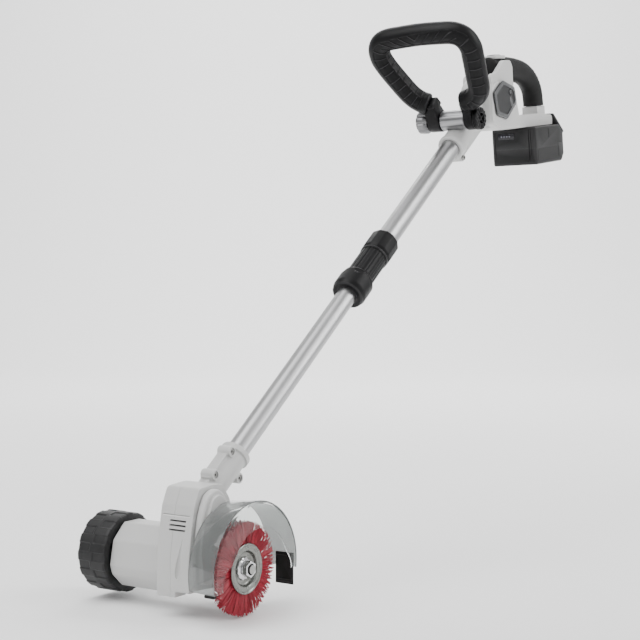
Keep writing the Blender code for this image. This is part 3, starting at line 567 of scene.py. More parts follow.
# Darker, less clear copy of the clear finish for the hood's curved wall: painted shade standing in for the
# dark inside seen through it.
SHADED_CLEAR = finish("smoky_clear_plastic", (0.36, 0.375, 0.37), 0.07, vary=0.06, patch=15.0, rough_vary=0.04,
               Transmission_Weight=0.75, IOR=1.4)
NYLON = finish("red_nylon", (0.36, 0.016, 0.034), 0.38, vary=0.65, patch=900.0, Specular_IOR_Level=0.5)
COPPER = finish("copper_winding", (0.55, 0.22, 0.10), 0.35, 1.0, vary=0.2, patch=300.0)
BOARD = finish("green_board", (0.02, 0.12, 0.05), 0.4, vary=0.3, patch=200.0)
CELL = finish("blue_cell_wrap", (0.03, 0.10, 0.30), 0.3, vary=0.1)


# ---- the motor head

def drop(points, at, leans):
    """A tear-shaped cutter along z that starts at (x, y) and leans by (x, y) per millimetre of height."""
    mesh = lathe(points, 40)
    for vert in mesh.verts:
        height = vert.co.z
        vert.co.x += at[0] + leans[0] * height
        vert.co.y = at[1] + leans[1] * max(0.0, height - 12.0) + 0.75 * vert.co.y
    return closed(mesh)


def make_housing():
    """The motor barrel, the tower and the clamp round the tube, with their seams, slots and recesses."""
    low, high = TOWER_X
    neck = [rod(NECK_R, *NECK_SPAN), rod(NECK_R + 2.3, NECK_SPAN[1] - 7, NECK_SPAN[1]),
            block((-5.5, 8.0), (-18.8, -8.0), (61.0, 111.0)), block((-5.0, 8.0), (8.0, 18.0), (90.0, 104.0))]
    for along, across in NECK_BOSSES:
        reach = sorted((0.96 * across, 0.5 * across))
        neck += [rod_x(6.1, -5.8, 11.6, across, along), block((-5.0, 7.0), reach, (along - 10, along + 10))]
    shapes = [prism(rounded(TOWER, 3), low + 1.6, high),
              prism(rounded(inset(TOWER, 1.3), 3), low, high),
              prism(rounded(BARREL, 2.5), *BARREL_X),
              block((-19.5, 5.5), (-49.4, -30.0), (-29.0, -18.0)),
              *[moved(shape, TUBE, HEAD) for shape in neck]]
    made = moulded("head_housing", shapes, 0.8, 3)
    end = BARREL_X[0]
    cut(made, rod_x(BARREL_BORE_R, end + 4.0, 20.0), rod_x(5.0 + GAP, end - 1.0, end + 6.0),
        prism(rounded(inset(TOWER, 4.2), 4), low + 4.0, high - 4.0), rod_x(8.0, 12.0, 28.0),
        moved(rod(LOWER_TUBE_R + GAP, NECK_SPAN[0] - 12, NECK_SPAN[1] + 5, 64), TUBE, HEAD))
    for along, across in NECK_BOSSES:
        bores = rod_x(2.0, -30.0, 30.0, across, along), rod_x(3.9, 8.0, 30.0, across, along)
        cut(made, *[moved(bore, TUBE, HEAD) for bore in bores])
    for level in range(3):
        z = 51.7 - 4.8 * level
        slit = rounded([(-60.0, z - 1.0), (-36.0, z - 1.0), (-36.0, z + 1.0), (-60.0, z + 1.0)], 1.0)
        cut(made, prism(slit, -5.5, 16.5))
    front = [(-60.0, 57.2), (-41.6, 57.2), (-41.4, 58.2), (-60.0, 58.2)]
    cut(made, prism(front, -15.5, 20.5), band(rounded(TOWER, 4), 0.6, 0.14))
    tear = [(0, -9), (2.6, -7.6), (4.0, -4), (4.3, 0), (3.7, 6), (2.3, 16), (1.3, 26), (0.8, 33), (0, 36)]
    cut(made, drop(tear, (10.5, -50.2), (0.115, 0.152)))
    place(made, SHELL, "lower_assembly", HEAD, "shell", "head_shell_left", "head_shell_right", sharp=40)


def make_cover():
    """The gearbox cover with its raised field."""
    x0, x1 = COVER_X
    made = new_object("gearbox_cover_moulding", prism(rounded(COVER, 9), x0, x1 - 3.2))
    bevel(made, 2.6, 4)
    unite(made, prism(rounded(inset(COVER, 5.5), 8), x1 - 6.0, x1))
    bevel(made, 1.1, 3, 50)
    cut(made, prism(rounded(inset(COVER, 5.0), 5), x0 - 1, x1 - 5.2), rod_x(8.0, 20.0, 50.0))
    for y, z in GUARD_SCREWS:
        cut(made, rod_x(2.3, 26.0, 45.0, y, z))
    place(made, SHELL, "lower_assembly", HEAD, "shell", "gearbox_cover")


def make_screw(name, at, y, z, tip, seat, top, radius, body):
    """A cap screw about x with a hexagon socket."""
    profile = [(0, tip), (1.7, tip), (1.7, seat), (radius, seat), (radius, top - 0.5), (radius - 0.5, top),
               (0, top)]
    made = new_object(name + "_detail", along_x(lathe(profile, 36), y, z))
    cut(made, rod_x(radius * 0.5, top - 1.6, top + 1, y, z, 6))
    place(made, STEEL, body, at, "steel", name)


def make_guard():
    """The clear hood over the brush, with a bead round its rim; its curved wall has a darker, less clear copy
    of the clear finish as painted shade.
    """
    stations = ((-12, 62.0), (4, 57.0), (16, 46.0), (32, 43.0), (100, 44.0), (125, 48.0), (160, 52.0),
                (187, 62.0))
    x0, x1 = GUARD_X
    near, far = GUARD_R
    wall = 1.8
    mesh = bmesh.new()
    rings = []
    count = 132
    for step in range(count + 1):
        angle = -12 + 199 * step / count
        inner = stations[-1][1]
        for (low, first), (high, second) in zip(stations, stations[1:]):
            if low <= angle <= high:
                share = (angle - low) / (high - low)
                inner = first + (second - first) * (3 * share ** 2 - 2 * share ** 3)
                break
        turn = radians(angle)
        bend = [(far - 3.2 + 3.2 * cos(a), x1 - 3.2 + 3.2 * sin(a))
                for a in [radians(90 * i / 5) for i in range(6)]]
        bead = [(inner + 0.9 - 1.1 * cos(a), x1 - wall / 2 + 1.1 * sin(a))
                for a in [radians(40 - 80 * i / 5) for i in range(6)]]
        section = ([(near, x0 + 0.6)] + bend + [(inner + 2.6, x1)] + [(r, min(x, x1)) for r, x in bead]
                   + [(inner + 2.6, x1 - wall), (far - wall - 1.6, x1 - wall), (far - wall, x1 - wall - 1.8),
                      (near - wall, x0 + wall), (30.0, x0 + wall), (30.0, x0), (near - 0.6, x0)])
        rings.append([mesh.verts.new((x, GUARD_Y - r * cos(turn), r * sin(turn)))
                      for r, x in section])
    made = new_object("clear_hood", closed(wrap(mesh, rings)))
    for y, z in GUARD_SCREWS:
        cut(made, rod_x(2.3, 30.0, 45.0, y, z))

    def curved_wall(centre):
        out = hypot(centre.y - GUARD_Y, centre.z)
        return out > near - wall - 1.0 and centre.x < x1 - 4.5

    # Painted shade: the curved wall gets the darker clear finish, the front plate the clear one.
    two_tone(made, CLEAR, SHADED_CLEAR, curved_wall)
    place(made, None, "lower_assembly", HEAD, "clear", "guard_hood", sharp=45)
    flap = new_object("flap_sheet", block((52.0, 75.2), (67.6, 69.8), (-28.0, 7.0)))
    bevel(flap, 0.7, 3)
    unite(flap, *[block((53.0, 74.2), (67.2, 69.9), (z, z + 0.8)) for z in (-26.0, -23.5, 3.0)])
    place(flap, RUBBER, "lower_assembly", HEAD, "rubber", "rear_flap")
    lip = new_object("lip_block", block((60.0, 73.0), (-69.0, -63.5), (-18.4, -15.0)))
    bevel(lip, 1.2, 4)
    place(lip, RUBBER, "lower_assembly", HEAD, "rubber", "front_lip")
    for index, (y, z) in enumerate(GUARD_SCREWS):
        make_screw(f"guard_screw_{index + 1}", HEAD, y, z, 29.0, 40.3, 42.6, 4.0, "lower_assembly")


def make_brush():
    """The spinning brush: bristles in tufts between two pressed discs, washer and nut."""
    mesh = bmesh.new()
    for index in range(STRANDS):
        angle = tau * (index + RANDOM.uniform(-0.4, 0.4)) / STRANDS
        share = RANDOM.random()
        sideways = RANDOM.gauss(0.0, 0.022)
        reach = BRUSH_R - 0.3 - abs(RANDOM.gauss(0.0, 1.3))
        thick = RANDOM.uniform(0.38, 0.62)
        x_foot = 53.2 + 8.0 * share
        x_tip = 52.0 + 10.6 * share + RANDOM.uniform(-0.4, 0.4)
        rings = []
        for station in range(4):
            t = station / 3
            r = 22.0 + (reach - 22.0) * t
            turn = angle + sideways * t * t * 2.2
            out = Vector((0.0, cos(turn), sin(turn)))
            side = Vector((0.0, -sin(turn), cos(turn)))
            centre = out * r + Vector((x_foot + (x_tip - x_foot) * t, 0.0, 0.0))
            rings.append([mesh.verts.new(centre + side * thick * a + Vector((thick * b, 0.0, 0.0)))
                          for a, b in ((1, 0), (0, 1), (-1, 0), (0, -1))])
        wrap(mesh, rings)
    profile = [(12.5, 52.6), (25.5, 52.6), (30.0, 55.5), (30.0, 58.4), (25.5, 61.0), (20.6, 61.0),
               (18.8, 57.0), (12.5, 57.0)]
    core = new_object("core", along_x(lathe(profile, 64)))
    mesh.from_mesh(core.data)
    bpy.data.objects.remove(core)
    made = new_object("bristle_tufts", closed(mesh))
    place(made, NYLON, "brush_rotor", HEAD, "bristle", "bristle_ring", sharp=60)

    def star(radius, height, angle):
        lift = 0.6 * max(0.0, cos(8 * angle)) * max(0.0, 1 - abs(radius - 21.5) / 2.4)
        return radius, height + lift

    outer = finer([(5.2, 57.5), (18.1, 57.5), (19.6, 62.1), (HUB_R - 0.4, 62.1), (HUB_R + 0.3, 62.5),
                   (HUB_R + 0.5, 63.2), (HUB_R + 0.1, 64.0), (HUB_R - 0.9, 64.4), (HUB_R - 1.9, 64.0),
                   (HUB_R - 2.6, 63.4), (20.0, 63.5), (19.0, 63.0), (17.6, 59.4), (16.6, 58.8), (5.2, 58.8)],
                  0.9)
    disc = new_object("hub_disc_front", along_x(lathe(outer, 160, star)))
    place(disc, ZINC, "brush_rotor", HEAD, "steel", "brush_front_disc", sharp=45)
    rear = [(5.2, 48), (11, 48), (13, 50), (HUB_R - 1, 51), (HUB_R, 51.4), (HUB_R - 0.3, 52.2), (12, 52.2),
            (5.2, 52.2)]
    rear_disc = new_object("hub_disc_rear", along_x(lathe(rear, 96)))
    place(rear_disc, ZINC, "brush_rotor", HEAD, "steel", "brush_rear_disc")
    washer = [(5.2, 59.1), (12.4, 59.1), (12.8, 59.5), (12.2, 60.6), (9.0, 61.9), (5.2, 62.0)]

    def serrated(radius, height, angle):
        notch = 0.4 + 0.4 * cos(12 * angle) if radius > 10 else 0.0
        return radius - notch, height

    star_washer = new_object("star_washer", along_x(lathe(washer, 144, serrated)))
    place(star_washer, CHROME, "brush_rotor", HEAD, "chrome", "brush_washer")
    nut = new_object("hex_nut", along_x(lathe([(6.0, 62.3), (9.2, 62.3), (9.2, 69.2), (6.0, 69.2)], 6)))
    bevel(nut, 0.5, 3, 30)
    cut(nut, rod_x(6.3, 60.0, 80.0))
    place(nut, CHROME, "brush_rotor", HEAD, "chrome", "brush_nut")


def make_wheel():
    """The guide wheel: block tread, ribbed rim and dished cap."""
    x0, x1 = WHEEL_X
    middle = (x0 + x1) / 2
    profile = finer([(36.3, x0), (WHEEL_R - 2.6, x0), (WHEEL_R - 0.7, x0 + 0.9), (WHEEL_R, x0 + 2.8),
                     (WHEEL_R, x1 - 2.8), (WHEEL_R - 0.7, x1 - 0.9), (WHEEL_R - 2.6, x1), (36.3, x1)], 1.6)

    def blocks(radius, x, angle):
        if radius < 40.0:
            return radius, x
        turns = angle / tau * TREAD_BLOCKS + (0.5 if x > middle else 0.0)
        gap = abs(turns - round(turns)) * tau * WHEEL_R / TREAD_BLOCKS
        centre = abs(x - middle)
        groove = max(0.0, min(1.0, 5.4 - gap)) if centre > 1.5 else 0.0
        return radius - 1.1 * groove * min(1.0, max(0.0, (centre - 1.5) / 1.0)), x

    tread = new_object("block_tread", along_x(lathe(profile, 416, blocks)))
    place(tread, TREAD, "guide_wheel", HEAD, "rubber", "wheel_tread", sharp=30)
    rim = [(5.3, -132), (11, -132), (11, -120), (32, -120), (32, -135.4), (32.6, -136), (35.4, -136),
           (36, -135.4), (36, -101.6), (35.4, -101), (32.6, -101), (32, -101.6), (32, -116), (11, -116),
           (11, -101), (5.3, -101)]

    def ribs(radius, x, angle):
        if 31.9 < radius < 32.7 and x > -115:
            return radius - 0.9 * max(0.0, cos(18 * angle)) ** 4, x
        return radius, x

    ribbed_rim = new_object("ribbed_rim", along_x(lathe(finer(rim, 2.5), 216, ribs)))
    place(ribbed_rim, DARK, "guide_wheel", HEAD, "dark_plastic", "wheel_rim")
    cap = finer([(0, -138.0), (8, -138.0), (9, -137.2), (21, -136.9), (22, -137.4), (30.5, -135.4),
                 (31.6, -134.2), (31.6, -132), (24, -134.9), (0, -135.6)], 1.5)

    def spokes(radius, x, angle):
        if 9.5 < radius < 21 and x < -136:
            return radius, x + 0.9 * max(0.0, cos(6 * angle)) ** 0.5
        return radius, x

    dished_cap = new_object("dished_cap", along_x(lathe(cap, 144, spokes)))
    place(dished_cap, DARK, "guide_wheel", HEAD, "dark_plastic", "wheel_cap")


# ---- the tube and its lock

def make_tubes():
    """The telescopic tubes with rolled ends."""
    for name, radius, (low, high) in (("lower_tube", LOWER_TUBE_R, LOWER_TUBE_SPAN),
                                      ("upper_tube", UPPER_TUBE_R, UPPER_TUBE_SPAN)):
        hole = radius - TUBE_WALL
        profile = [(hole, low + 0.4), (hole + 0.4, low), (radius - 0.4, low), (radius, low + 0.4),
                   (radius, high - 0.4), (radius - 0.4, high), (hole + 0.4, high), (hole, high - 0.4)]
        body = "lower_assembly" if name == "lower_tube" else "handle_body"
        place(new_object(name + "_drawn", lathe(profile, 96)), TUBE_METAL, body, TUBE, "aluminium", name)


def make_lock():
    """The twist lock: faceted collar and a nut with finger scallops."""
    bore = UPPER_TUBE_R + 3 * GAP
    low, high = COLLAR_SPAN
    collar = new_object("faceted_collar", lathe([(bore, low), (18.7, low), (20.3, low + 4), (20.3, high - 3),
                                                (18.5, high), (bore, high)], 12))
    bevel(collar, 0.7, 3, 20)
    cut(collar, rod(bore - 0.3, low - 2, high + 2, 64))
    place(collar, BLACK, "handle_body", TUBE, "black_plastic", "lock_collar")
    low, high = NUT_SPAN
    small = LOWER_TUBE_R + 0.6
    profile = [(small, low), (19.2, low), (20.6, low + 1.2), (22.4, low + 7), (22.4, low + 29),
               (21.8, low + 30.4), (18.2, low + 36), (18.2, high - 4.5), (19.2, high - 3.2),
               (19.2, high - 0.6), (18.7, high), (bore, high), (bore, low + 44), (17.2, low + 42),
               (17.2, low + 8), (small, low + 5)]

    def flutes(radius, height, angle):
        if 18.0 < radius < 18.4:
            return radius - 0.7 * max(0.0, cos(18 * angle)) ** 2, height
        return radius, height

    nut = new_object("twist_nut", lathe(finer(profile, 2.0), 216, flutes))
    for index in range(6):
        arch = along_x(lathe([(0, 20.7), (7.0, 20.7), (7.0, 30.0), (0, 30.0)], 40), 0.0, low + 31)
        bmesh.ops.rotate(arch, matrix=Matrix.Rotation(tau * index / 6, 3, "Z"), verts=arch.verts)
        cut(nut, arch)
    place(nut, BLACK, "lock_nut", TUBE, "black_plastic", "lock_nut")


def make_socket():
    """The moulded socket with its flared lip and clamp boss."""
    low, high = SOCKET_SPAN
    bore = UPPER_TUBE_R + GAP
    boss = (21.3, low + 9.0)
    profile = [(10.0, low + 1), (18.0, low), (19.0, low + 2), (19.0, low + 7), (SOCKET_R, low + 11),
               (SOCKET_R, high), (10.0, high)]
    bulge = rod(16.0, low + 1.0, low + 23.5)
    bmesh.ops.translate(bulge, vec=(0.0, 5.0, 0.0), verts=bulge.verts)
    web = block((-9.0, 9.0), (8.0, 22.6), (boss[1], 780.0))
    made = moulded("socket_moulding", [lathe(profile, 72), bulge, web, rod_x(5.4, -9.8, 9.8, *boss)], 0.7, 3)
    cut(made, rod(bore, low - 4, high + 4, 72), rod_x(2.0, -20.0, 20.0, *boss), rod_x(4.0, 9.0, 20.0, *boss))
    place(made, SHELL, "handle_body", TUBE, "shell", "tube_socket", sharp=40)
    make_screw("socket_screw", TUBE, *boss, -9.4, 10.2, 12.6, 3.5, "handle_body")


# ---- the handle

def grip_path():
    """The middle line of the D-grip in the handle's frame."""
    return curve_through([(0.0, y, z) for y, z in GRIP_SPINE], 12)


def make_body():
    """The handle's moulding with its nose, spikes and battery rail."""
    shapes = [prism(rounded(inset(BODY, 1.6), 8), -BODY_HALF, BODY_HALF),
              prism(rounded(BODY, 8), -BODY_HALF + 3.4, BODY_HALF - 3.4),
              prism(rounded(FRONT, 7), -13.0, 13.0),
              prism(rounded(inset(FRONT, -1.0), 7), -9.0, 9.0),
              prism(rounded(SPIKE, 4), 16.8, 23.6), prism(rounded(SPIKE, 4), -23.6, -16.8),
              prism(rounded(RAIL, 2), -RAIL_HALF, RAIL_HALF),
              block((-13.4, 13.4), (37.6, 65.9), (-72.0, -54.7)),
              moved(block((-9.0, 9.0), (10.0, 22.6), (781.0, 838.0)), TUBE, GRIP)]
    made = moulded("handle_moulding", shapes, 0.8, 4)
    unite(made, swept(even(grip_path(), 3.0), (1.0, 0.0, 0.0), 12.0, 14.0, 40, caps=0.0),
          block((-11.0, 11.0), (-97.0, -71.0), (-24.0, -5.0)))
    cut(made, prism(rounded(inset(BODY, 3.4), 4), 3.0 - BODY_HALF, BODY_HALF - 3.0),
        moved(rod_x(19.0, -60.0, 60.0), CLAMP, GRIP),
        moved(rod(SOCKET_R + GAP, SOCKET_SPAN[0] - 6, SOCKET_SPAN[1] + GAP, 64), TUBE, GRIP),
        block((-12.6, 12.6), (-34.0, 90.0), (-86.5, -81.0)),
        block((-15.6, 15.6), (-34.0, 90.0), (-83.0, -75.0)),
        block((-6.4, 6.4), (-58.0, -24.0), (-24.0, 6.0)), block((-6.4, 6.4), (-92.0, -64.0), (8.0, 32.0)))
    cut(made, band(FRONT, 0.9, 0.22), band(BODY, 0.9, 0.22))
    for side in (-1, 1):
        cut(made, prism(rounded(inset(HEX_PANEL, -0.9), 5), *sorted((side * (BODY_HALF - 0.6), side * 30.0))),
            block(sorted((side * (RAIL_HALF - 0.7), side * 24.0)), (-40.0, 30.0), (-77.6, -76.8)))
    place(made, SHELL, "handle_body", GRIP, "shell", "handle_shell_left", "handle_shell_right", sharp=40)


def make_panels():
    """The hexagonal panels let into the handle's sides, each with a stud and a tear-shaped button; the raised
    rim, stud and button get a lighter finish, a painted highlight.
    """

    def raised(centre):
        height = centre.z + 45.0
        stud_near = hypot(centre.y + 91.0, centre.z + 30.0) < 3.5
        tear_near = hypot((centre.y + 88.0 + 0.3 * height) / 4.2, height / 9.0) < 1.0
        return abs(centre.x) > 29.65 or stud_near or tear_near

    for name, side in (("left", -1), ("right", 1)):
        inner = side * (BODY_HALF + GAP)
        span = sorted((inner, side * 30.5))
        made = new_object(f"hexagon_panel_{name}", prism(rounded(HEX_PANEL, 4), *span))
        bevel(made, 1.9, 3, 50)
        cut(made, prism(rounded(inset(HEX_PANEL, 6.0), 5), *sorted((side * 29.6, side * 34.0))),
            rod_x(5.2, *sorted((side * 28.4, side * 34.0)), -91.0, -30.0))
        stud = new_object("stud", rod_x(3.4, *sorted((side * 28.0, side * 30.7)), -91.0, -30.0))
        bevel(stud, 0.8, 3, 50)
        cut(stud, rod_x(1.2, *sorted((side * 30.0, side * 34.0)), -91.0, -30.0, 6))
        tear = lathe([(0, -9), (3.4, -7.6), (5.0, -4.0), (4.6, 0.5), (2.8, 6.0), (0, 10)], 40)
        for vert in tear.verts:
            y = -88.0 + vert.co.y - 0.3 * vert.co.z
            vert.co = Vector((side * 29.3 + vert.co.x * 0.3, y, -45.0 + vert.co.z))
        unite(made, as_mesh(stud), closed(tear))
        # Painted highlight: the raised parts get the lighter finish, the sunken field the dark one.
        two_tone(made, DARK, PANEL_HIGHLIGHT, raised)
        place(made, None, "handle_body", GRIP, "dark_plastic", f"handle_panel_{name}", sharp=30)


def make_grip():
    """The soft D-grip with its ribbed inner side, the top strip with its button and the trigger."""
    spine = grip_path()
    foot = [point for point in spine if point.z > GRIP_FOOT]
    path = even([Vector((0.0, GRIP_FRONT, GRIP_SPINE[0][1]))] + foot
                + [Vector((0.0, GRIP_SPINE[-1][0], GRIP_FOOT - 2.0))], 1.0)

    def ribbed(along, angle):
        inside = sin(angle)
        if inside > -0.25 or along < 60.0:
            return 0.0
        rib = abs(((along / 6.5) % 1.0) - 0.5) * 2.0
        return 0.55 * min(1.0, (-0.25 - inside) * 4.0) * min(1.0, rib * 3.0)

    made = new_object("soft_grip", swept(path, (1.0, 0.0, 0.0), 15.5, 18.0, 64, ribbed, caps=3.0))
    hollow = [Vector((0.0, GRIP_SPINE[0][0] - 2 * GAP, GRIP_SPINE[0][1]))] + foot[1:]
    hollow.append(Vector((0.0, GRIP_SPINE[-1][0], GRIP_FOOT - 6.0)))
    cut(made, swept(hollow, (1.0, 0.0, 0.0), 12.3 + GAP, 14.3 + GAP, 40, caps=0.0))
    cut(made, block((-30.0, 30.0), (20.0, 90.0), (-90.0, GRIP_FOOT)),
        block((-11.4, 11.4), (-97.4, -70.6), (-30.0, -2.6)), block((-6.9, 6.9), (-56.0, -26.0), (-26.0, 0.0)),
        block((-11.3, 11.3), (-97.0, -61.0), (14.0, 40.0)),
        *[block(span, (-140.0, -66.0), (-40.0, 20.0)) for span in ((15.3, 30.0), (-30.0, -15.3))])
    place(made, RUBBER, "handle_body", GRIP, "rubber", "grip_rubber", sharp=40)
    strip = new_object("top_strip_moulding", block((-11.0, 11.0), (-94.0, -61.3), (20.3, 25.5)))
    bevel(strip, 1.4, 4)
    cut(strip, block((-6.4, 6.4), (-90.0, -65.5), (15.0, 30.0)))
    place(strip, SHELL, "handle_body", GRIP, "shell", "top_strip")
    button = new_object("thumb_button", block((-6.0, 6.0), (-89.5, -66.0), (16.8, 26.6)))
    bevel(button, 1.0, 3)
    unite(button, *[block((-4.5, 4.5), (y, y + 1.4), (25.0, 27.0)) for y in (-84.0, -80.0, -76.0, -72.0)])
    place(button, BLACK, "lock_off_button", GRIP, "black_plastic", "lock_off_button")
    outline = [(-54, -8), (-54, -22), (-50, -28), (-40, -25), (-31, -27), (-28, -20), (-28, -8)]
    trigger = new_object("finger_trigger", prism(rounded(outline, 3), -6.0, 6.0))
    bevel(trigger, 1.0, 3)
    hole = rod(3.6, -9.0, -4.0)
    bmesh.ops.translate(hole, vec=(0.0, -41.0, 0.0), verts=hole.verts)
    cut(trigger, hole)
    place(trigger, BLACK, "trigger", GRIP, "black_plastic", "trigger")


# ---- the loop handle and its clamp

def make_loop():
    """The loop handle: a bent bar with a ribbed, sunken strip along its front, between two clamp eyes."""
    path = even(curve_through([(x, 0.0, z) for x, z in LOOP_SPINE], 12), 0.7)
    total = sum((b - a).length for a, b in zip(path, path[1:]))

    strip, groove, pitch = 36.0, 24.0, 14.0

    def pockets(along, angle):
        from_top = along - total / 2
        turned = -26.0 * max(-1.0, min(1.0, from_top / 90.0))
        off = (degrees(angle) - turned) % 360.0 - 180.0
        inner = abs((degrees(angle) - 90.0) % 360.0 - 180.0)
        if min(along, total - along) < 12.0:
            return 0.0
        if abs(off) > strip:
            if inner > groove or abs(from_top) < 62.0:
                return 0.0
            notch = abs((abs(from_top) / pitch) % 1.0 - 0.5) * pitch
            return 0.7 * min(1.0, max(0.0, notch - 0.7)) * min(1.0, (groove - inner) / 4.0)
        phase = abs(from_top) / pitch
        if abs(from_top) < 60.0:
            phase = (abs(from_top) + 0.3 * off) / 15.0
        rib = min(phase % 1.0, 1.0 - phase % 1.0) * pitch
        return 1.1 * min(1.0, (strip - abs(off)) / 4.0) * min(1.0, max(0.0, (rib - 0.55) / 0.6))

    bar = swept(path, (0.0, 1.0, 0.0), LOOP_BAR_R, LOOP_BAR_R, 108, pockets, caps=3.0)
    made = new_object("bent_loop", bar)
    turns = [radians(12 - 192 * i / 40) for i in range(41)]
    eye = rounded([(-11, 30), (-7, 36), (10, 37), (15, 20)], 5)
    eye += [(EYE_R * cos(a), EYE_R * sin(a)) for a in turns]
    for low, high in ((-36.0, -17.0), (23.0, 36.0)):
        lobe = new_object("eye", prism(eye, low, high))
        bevel(lobe, 1.6, 4)
        unite(made, as_mesh(lobe))
    cut(made, rod_x(4.3, -40.0, 40.0), rod_x(1.7, 21.5, 40.0, -5.0, 29.0, 24))
    place(made, BLACK, "loop_handle", CLAMP, "black_plastic", "loop_handle", sharp=40)

    def teeth(radius, x, angle):
        if x > 43.5 and radius > 8.5:
            return radius, x - 1.1 * (0.5 + 0.5 * cos(14 * angle))
        return radius, x

    outline = finer([(4.6, 36.3), (14.9, 36.3), (15.8, 37.4), (15.8, 43.2), (15.0, 44.4), (8, 44.5),
                     (8, 40.5), (4.6, 40.5)], 1.0)
    disc = new_object("toothed_disc", along_x(lathe(outline, 240, teeth)))
    unite(disc, block((39.5, 43.6), (-9.0, 9.0), (-1.0, 1.0)), block((39.5, 43.6), (-1.0, 1.0), (-9.0, 9.0)))
    place(disc, BLACK, "loop_handle", CLAMP, "black_plastic", "locking_disc")


def make_clamp():
    """The barrel that the loop tilts on, its bolt and the fluted knob."""
    low, high = -16.0, 22.0
    barrel = new_object("tilt_barrel", rod_x(14.0, low, high, steps=96, hole=4.3))
    bevel(barrel, 0.8, 3, 60)
    unite(barrel, *[rod_x(14.35, x, x + 1.2, steps=96, hole=5.0) for x in (low + 1.0, high - 2.2)])
    cut(barrel, moved(rod(SOCKET_R + GAP, SOCKET_SPAN[0], SOCKET_SPAN[1] + 20, 72), TUBE, CLAMP))
    place(barrel, COATED, "handle_body", CLAMP, "coated_metal", "clamp_barrel")
    bolt = [(0, -50), (3.6, -50), (4.0, -49.6), (4.0, 37.8), (3.6, 38.2), (0, 38.2)]
    place(new_object("clamp_bolt_turned", along_x(lathe(bolt, 48))), STEEL, "clamp_knob", CLAMP, "steel",
          "clamp_bolt")
    profile = finer([(4.3, -52), (9.5, -54.9), (14.0, -54.6), (16.0, -53.2), (16.6, -51), (16.6, -42.5),
                     (15.8, -40.5), (14, -37.6), (4.3, -37.3)], 1.0)

    def flutes(radius, x, angle):
        if radius < 13.0:
            return radius, x
        return radius - 1.9 * max(0.0, cos(9 * angle)) ** 1.5 * min(1.0, (radius - 13.0) / 2.5), x

    place(new_object("fluted_knob", along_x(lathe(profile, 252, flutes))), COATED, "clamp_knob", CLAMP,
          "coated_metal", "clamp_knob")


# ---- the battery

def make_battery():
    """The slide-on battery with its grooves, ribs, gauge window, hump and latch."""
    y0, y1 = BATTERY_Y
    z0, z1 = BATTERY_Z
    split = z0 + 25.0
    h = BATTERY_HALF
    outline = [(y0, z0), (y1 - 9, z0), (y1, z0 + 11), (y1, z1 - 12), (y1 - 12, z1), (y0, z1)]
    front_grooves = [((24.3, 25.9), 1.1, (z0 + 6, z1 - 3)), ((27.6, 28.8), 0.8, (z0 + 14, z1 - 3)),
                     ((-32.4, -31.2), 0.8, (z0 + 14, z1 - 5)), ((24.3, 28.8), 0.8, (z0 + 12.5, z0 + 13.5))]
    side_grooves = [((y0 + 4, y0 + 5), (z0 + 6, z0 + 22)), ((y0 + 46, y0 + 47.2), (z1 - 18, z1 - 4)),
                    ((y1 - 22, y1 - 21), (z0 + 8, z0 + 30)), ((y1 - 21.5, y1 + 1), (z0 + 29, z0 + 30))]
    halves = []
    for name, half in (("battery_tray", (split, 0.0)), ("battery_hood", (-200.0, split + 0.05))):
        case = new_object(name, prism(outline, -h, h))
        bevel(case, 3.2, 5, 30)
        cut(case, *[block(x_span, (y0 - 5, y0 + depth), z_span) for x_span, depth, z_span in front_grooves])
        for side in (-1, 1):
            span = sorted((side * (h - 0.8), side * (h + 5)))
            cut(case, *[block(span, *spans) for spans in side_grooves])
        cut(case, prism(inset(outline, 2.5), 2.5 - h, h - 2.5), block((-60.0, 60.0), (-60.0, 120.0), half))
        halves.append(case)
    lower, upper = halves
    cut(upper, block((-27.0, 1.0), (y0 - 5, y0 + 0.7), (z1 - 17.0, z1 - 7.0)))
    hump = new_object("hump", prism_y([(36, -99), (35, -95), (20, -68), (-20, -68), (-35, -95), (-36, -99)],
                                      RAIL_END + 1, 84.0))
    bevel(hump, 1.6, 4, 20)
    unite(upper, as_mesh(hump), block((-25.0, 25.0), (y1 - 13, RAIL_END + 2), (-97.5, z1 - 0.1)),
          block((-12.0, 12.0), (-25.0, RAIL_END + 2), (z1 - 2, -80.0)),
          block((-15.0, 15.0), (-25.0, RAIL_END + 2), (-82.4, -76.0)))
    cut(upper, block((-10.0, 10.0), (RAIL_END + 4, 100.0), (-90.2, -70.0)))
    place(lower, PACK, "battery_pack", GRIP, "black_plastic", "battery_case_lower")
    place(upper, PACK, "battery_pack", GRIP, "black_plastic", "battery_case_upper")
    window = new_object("gauge_window", block((-26.6, 0.6), (y0 + 0.2, y0 + 0.65), (z1 - 16.6, z1 - 7.4)))
    bevel(window, 0.2, 2)
    place(window, GLOSS, "battery_pack", GRIP, "black_plastic")
    turns = [tau * i / 20 for i in range(20)]
    dots = [prism_y([(x + 1.1 * cos(a), z1 - 12.0 + 1.1 * sin(a)) for a in turns], y0 + 0.1, y0 + 0.85)
            for x in (-21.0, -16.5, -12.0, -7.5)]
    dots = unite(new_object("gauge_dots", dots[0]), *dots[1:])
    place(dots, LAMP, "battery_pack", GRIP, "black_plastic")
    latch = new_object("latch_button", block((-9.6, 9.6), (RAIL_END + 4.4, 85.0), (-87.6, -71.4)))
    bevel(latch, 0.8, 3)
    unite(latch, *[block((-7.5, 7.5), (y, y + 0.6), (-72.0, -71.0)) for y in (81.9, 83.2)])
    place(latch, DARK, "battery_release", GRIP, "dark_plastic", "battery_release")


# ---- what stays as the frame has it

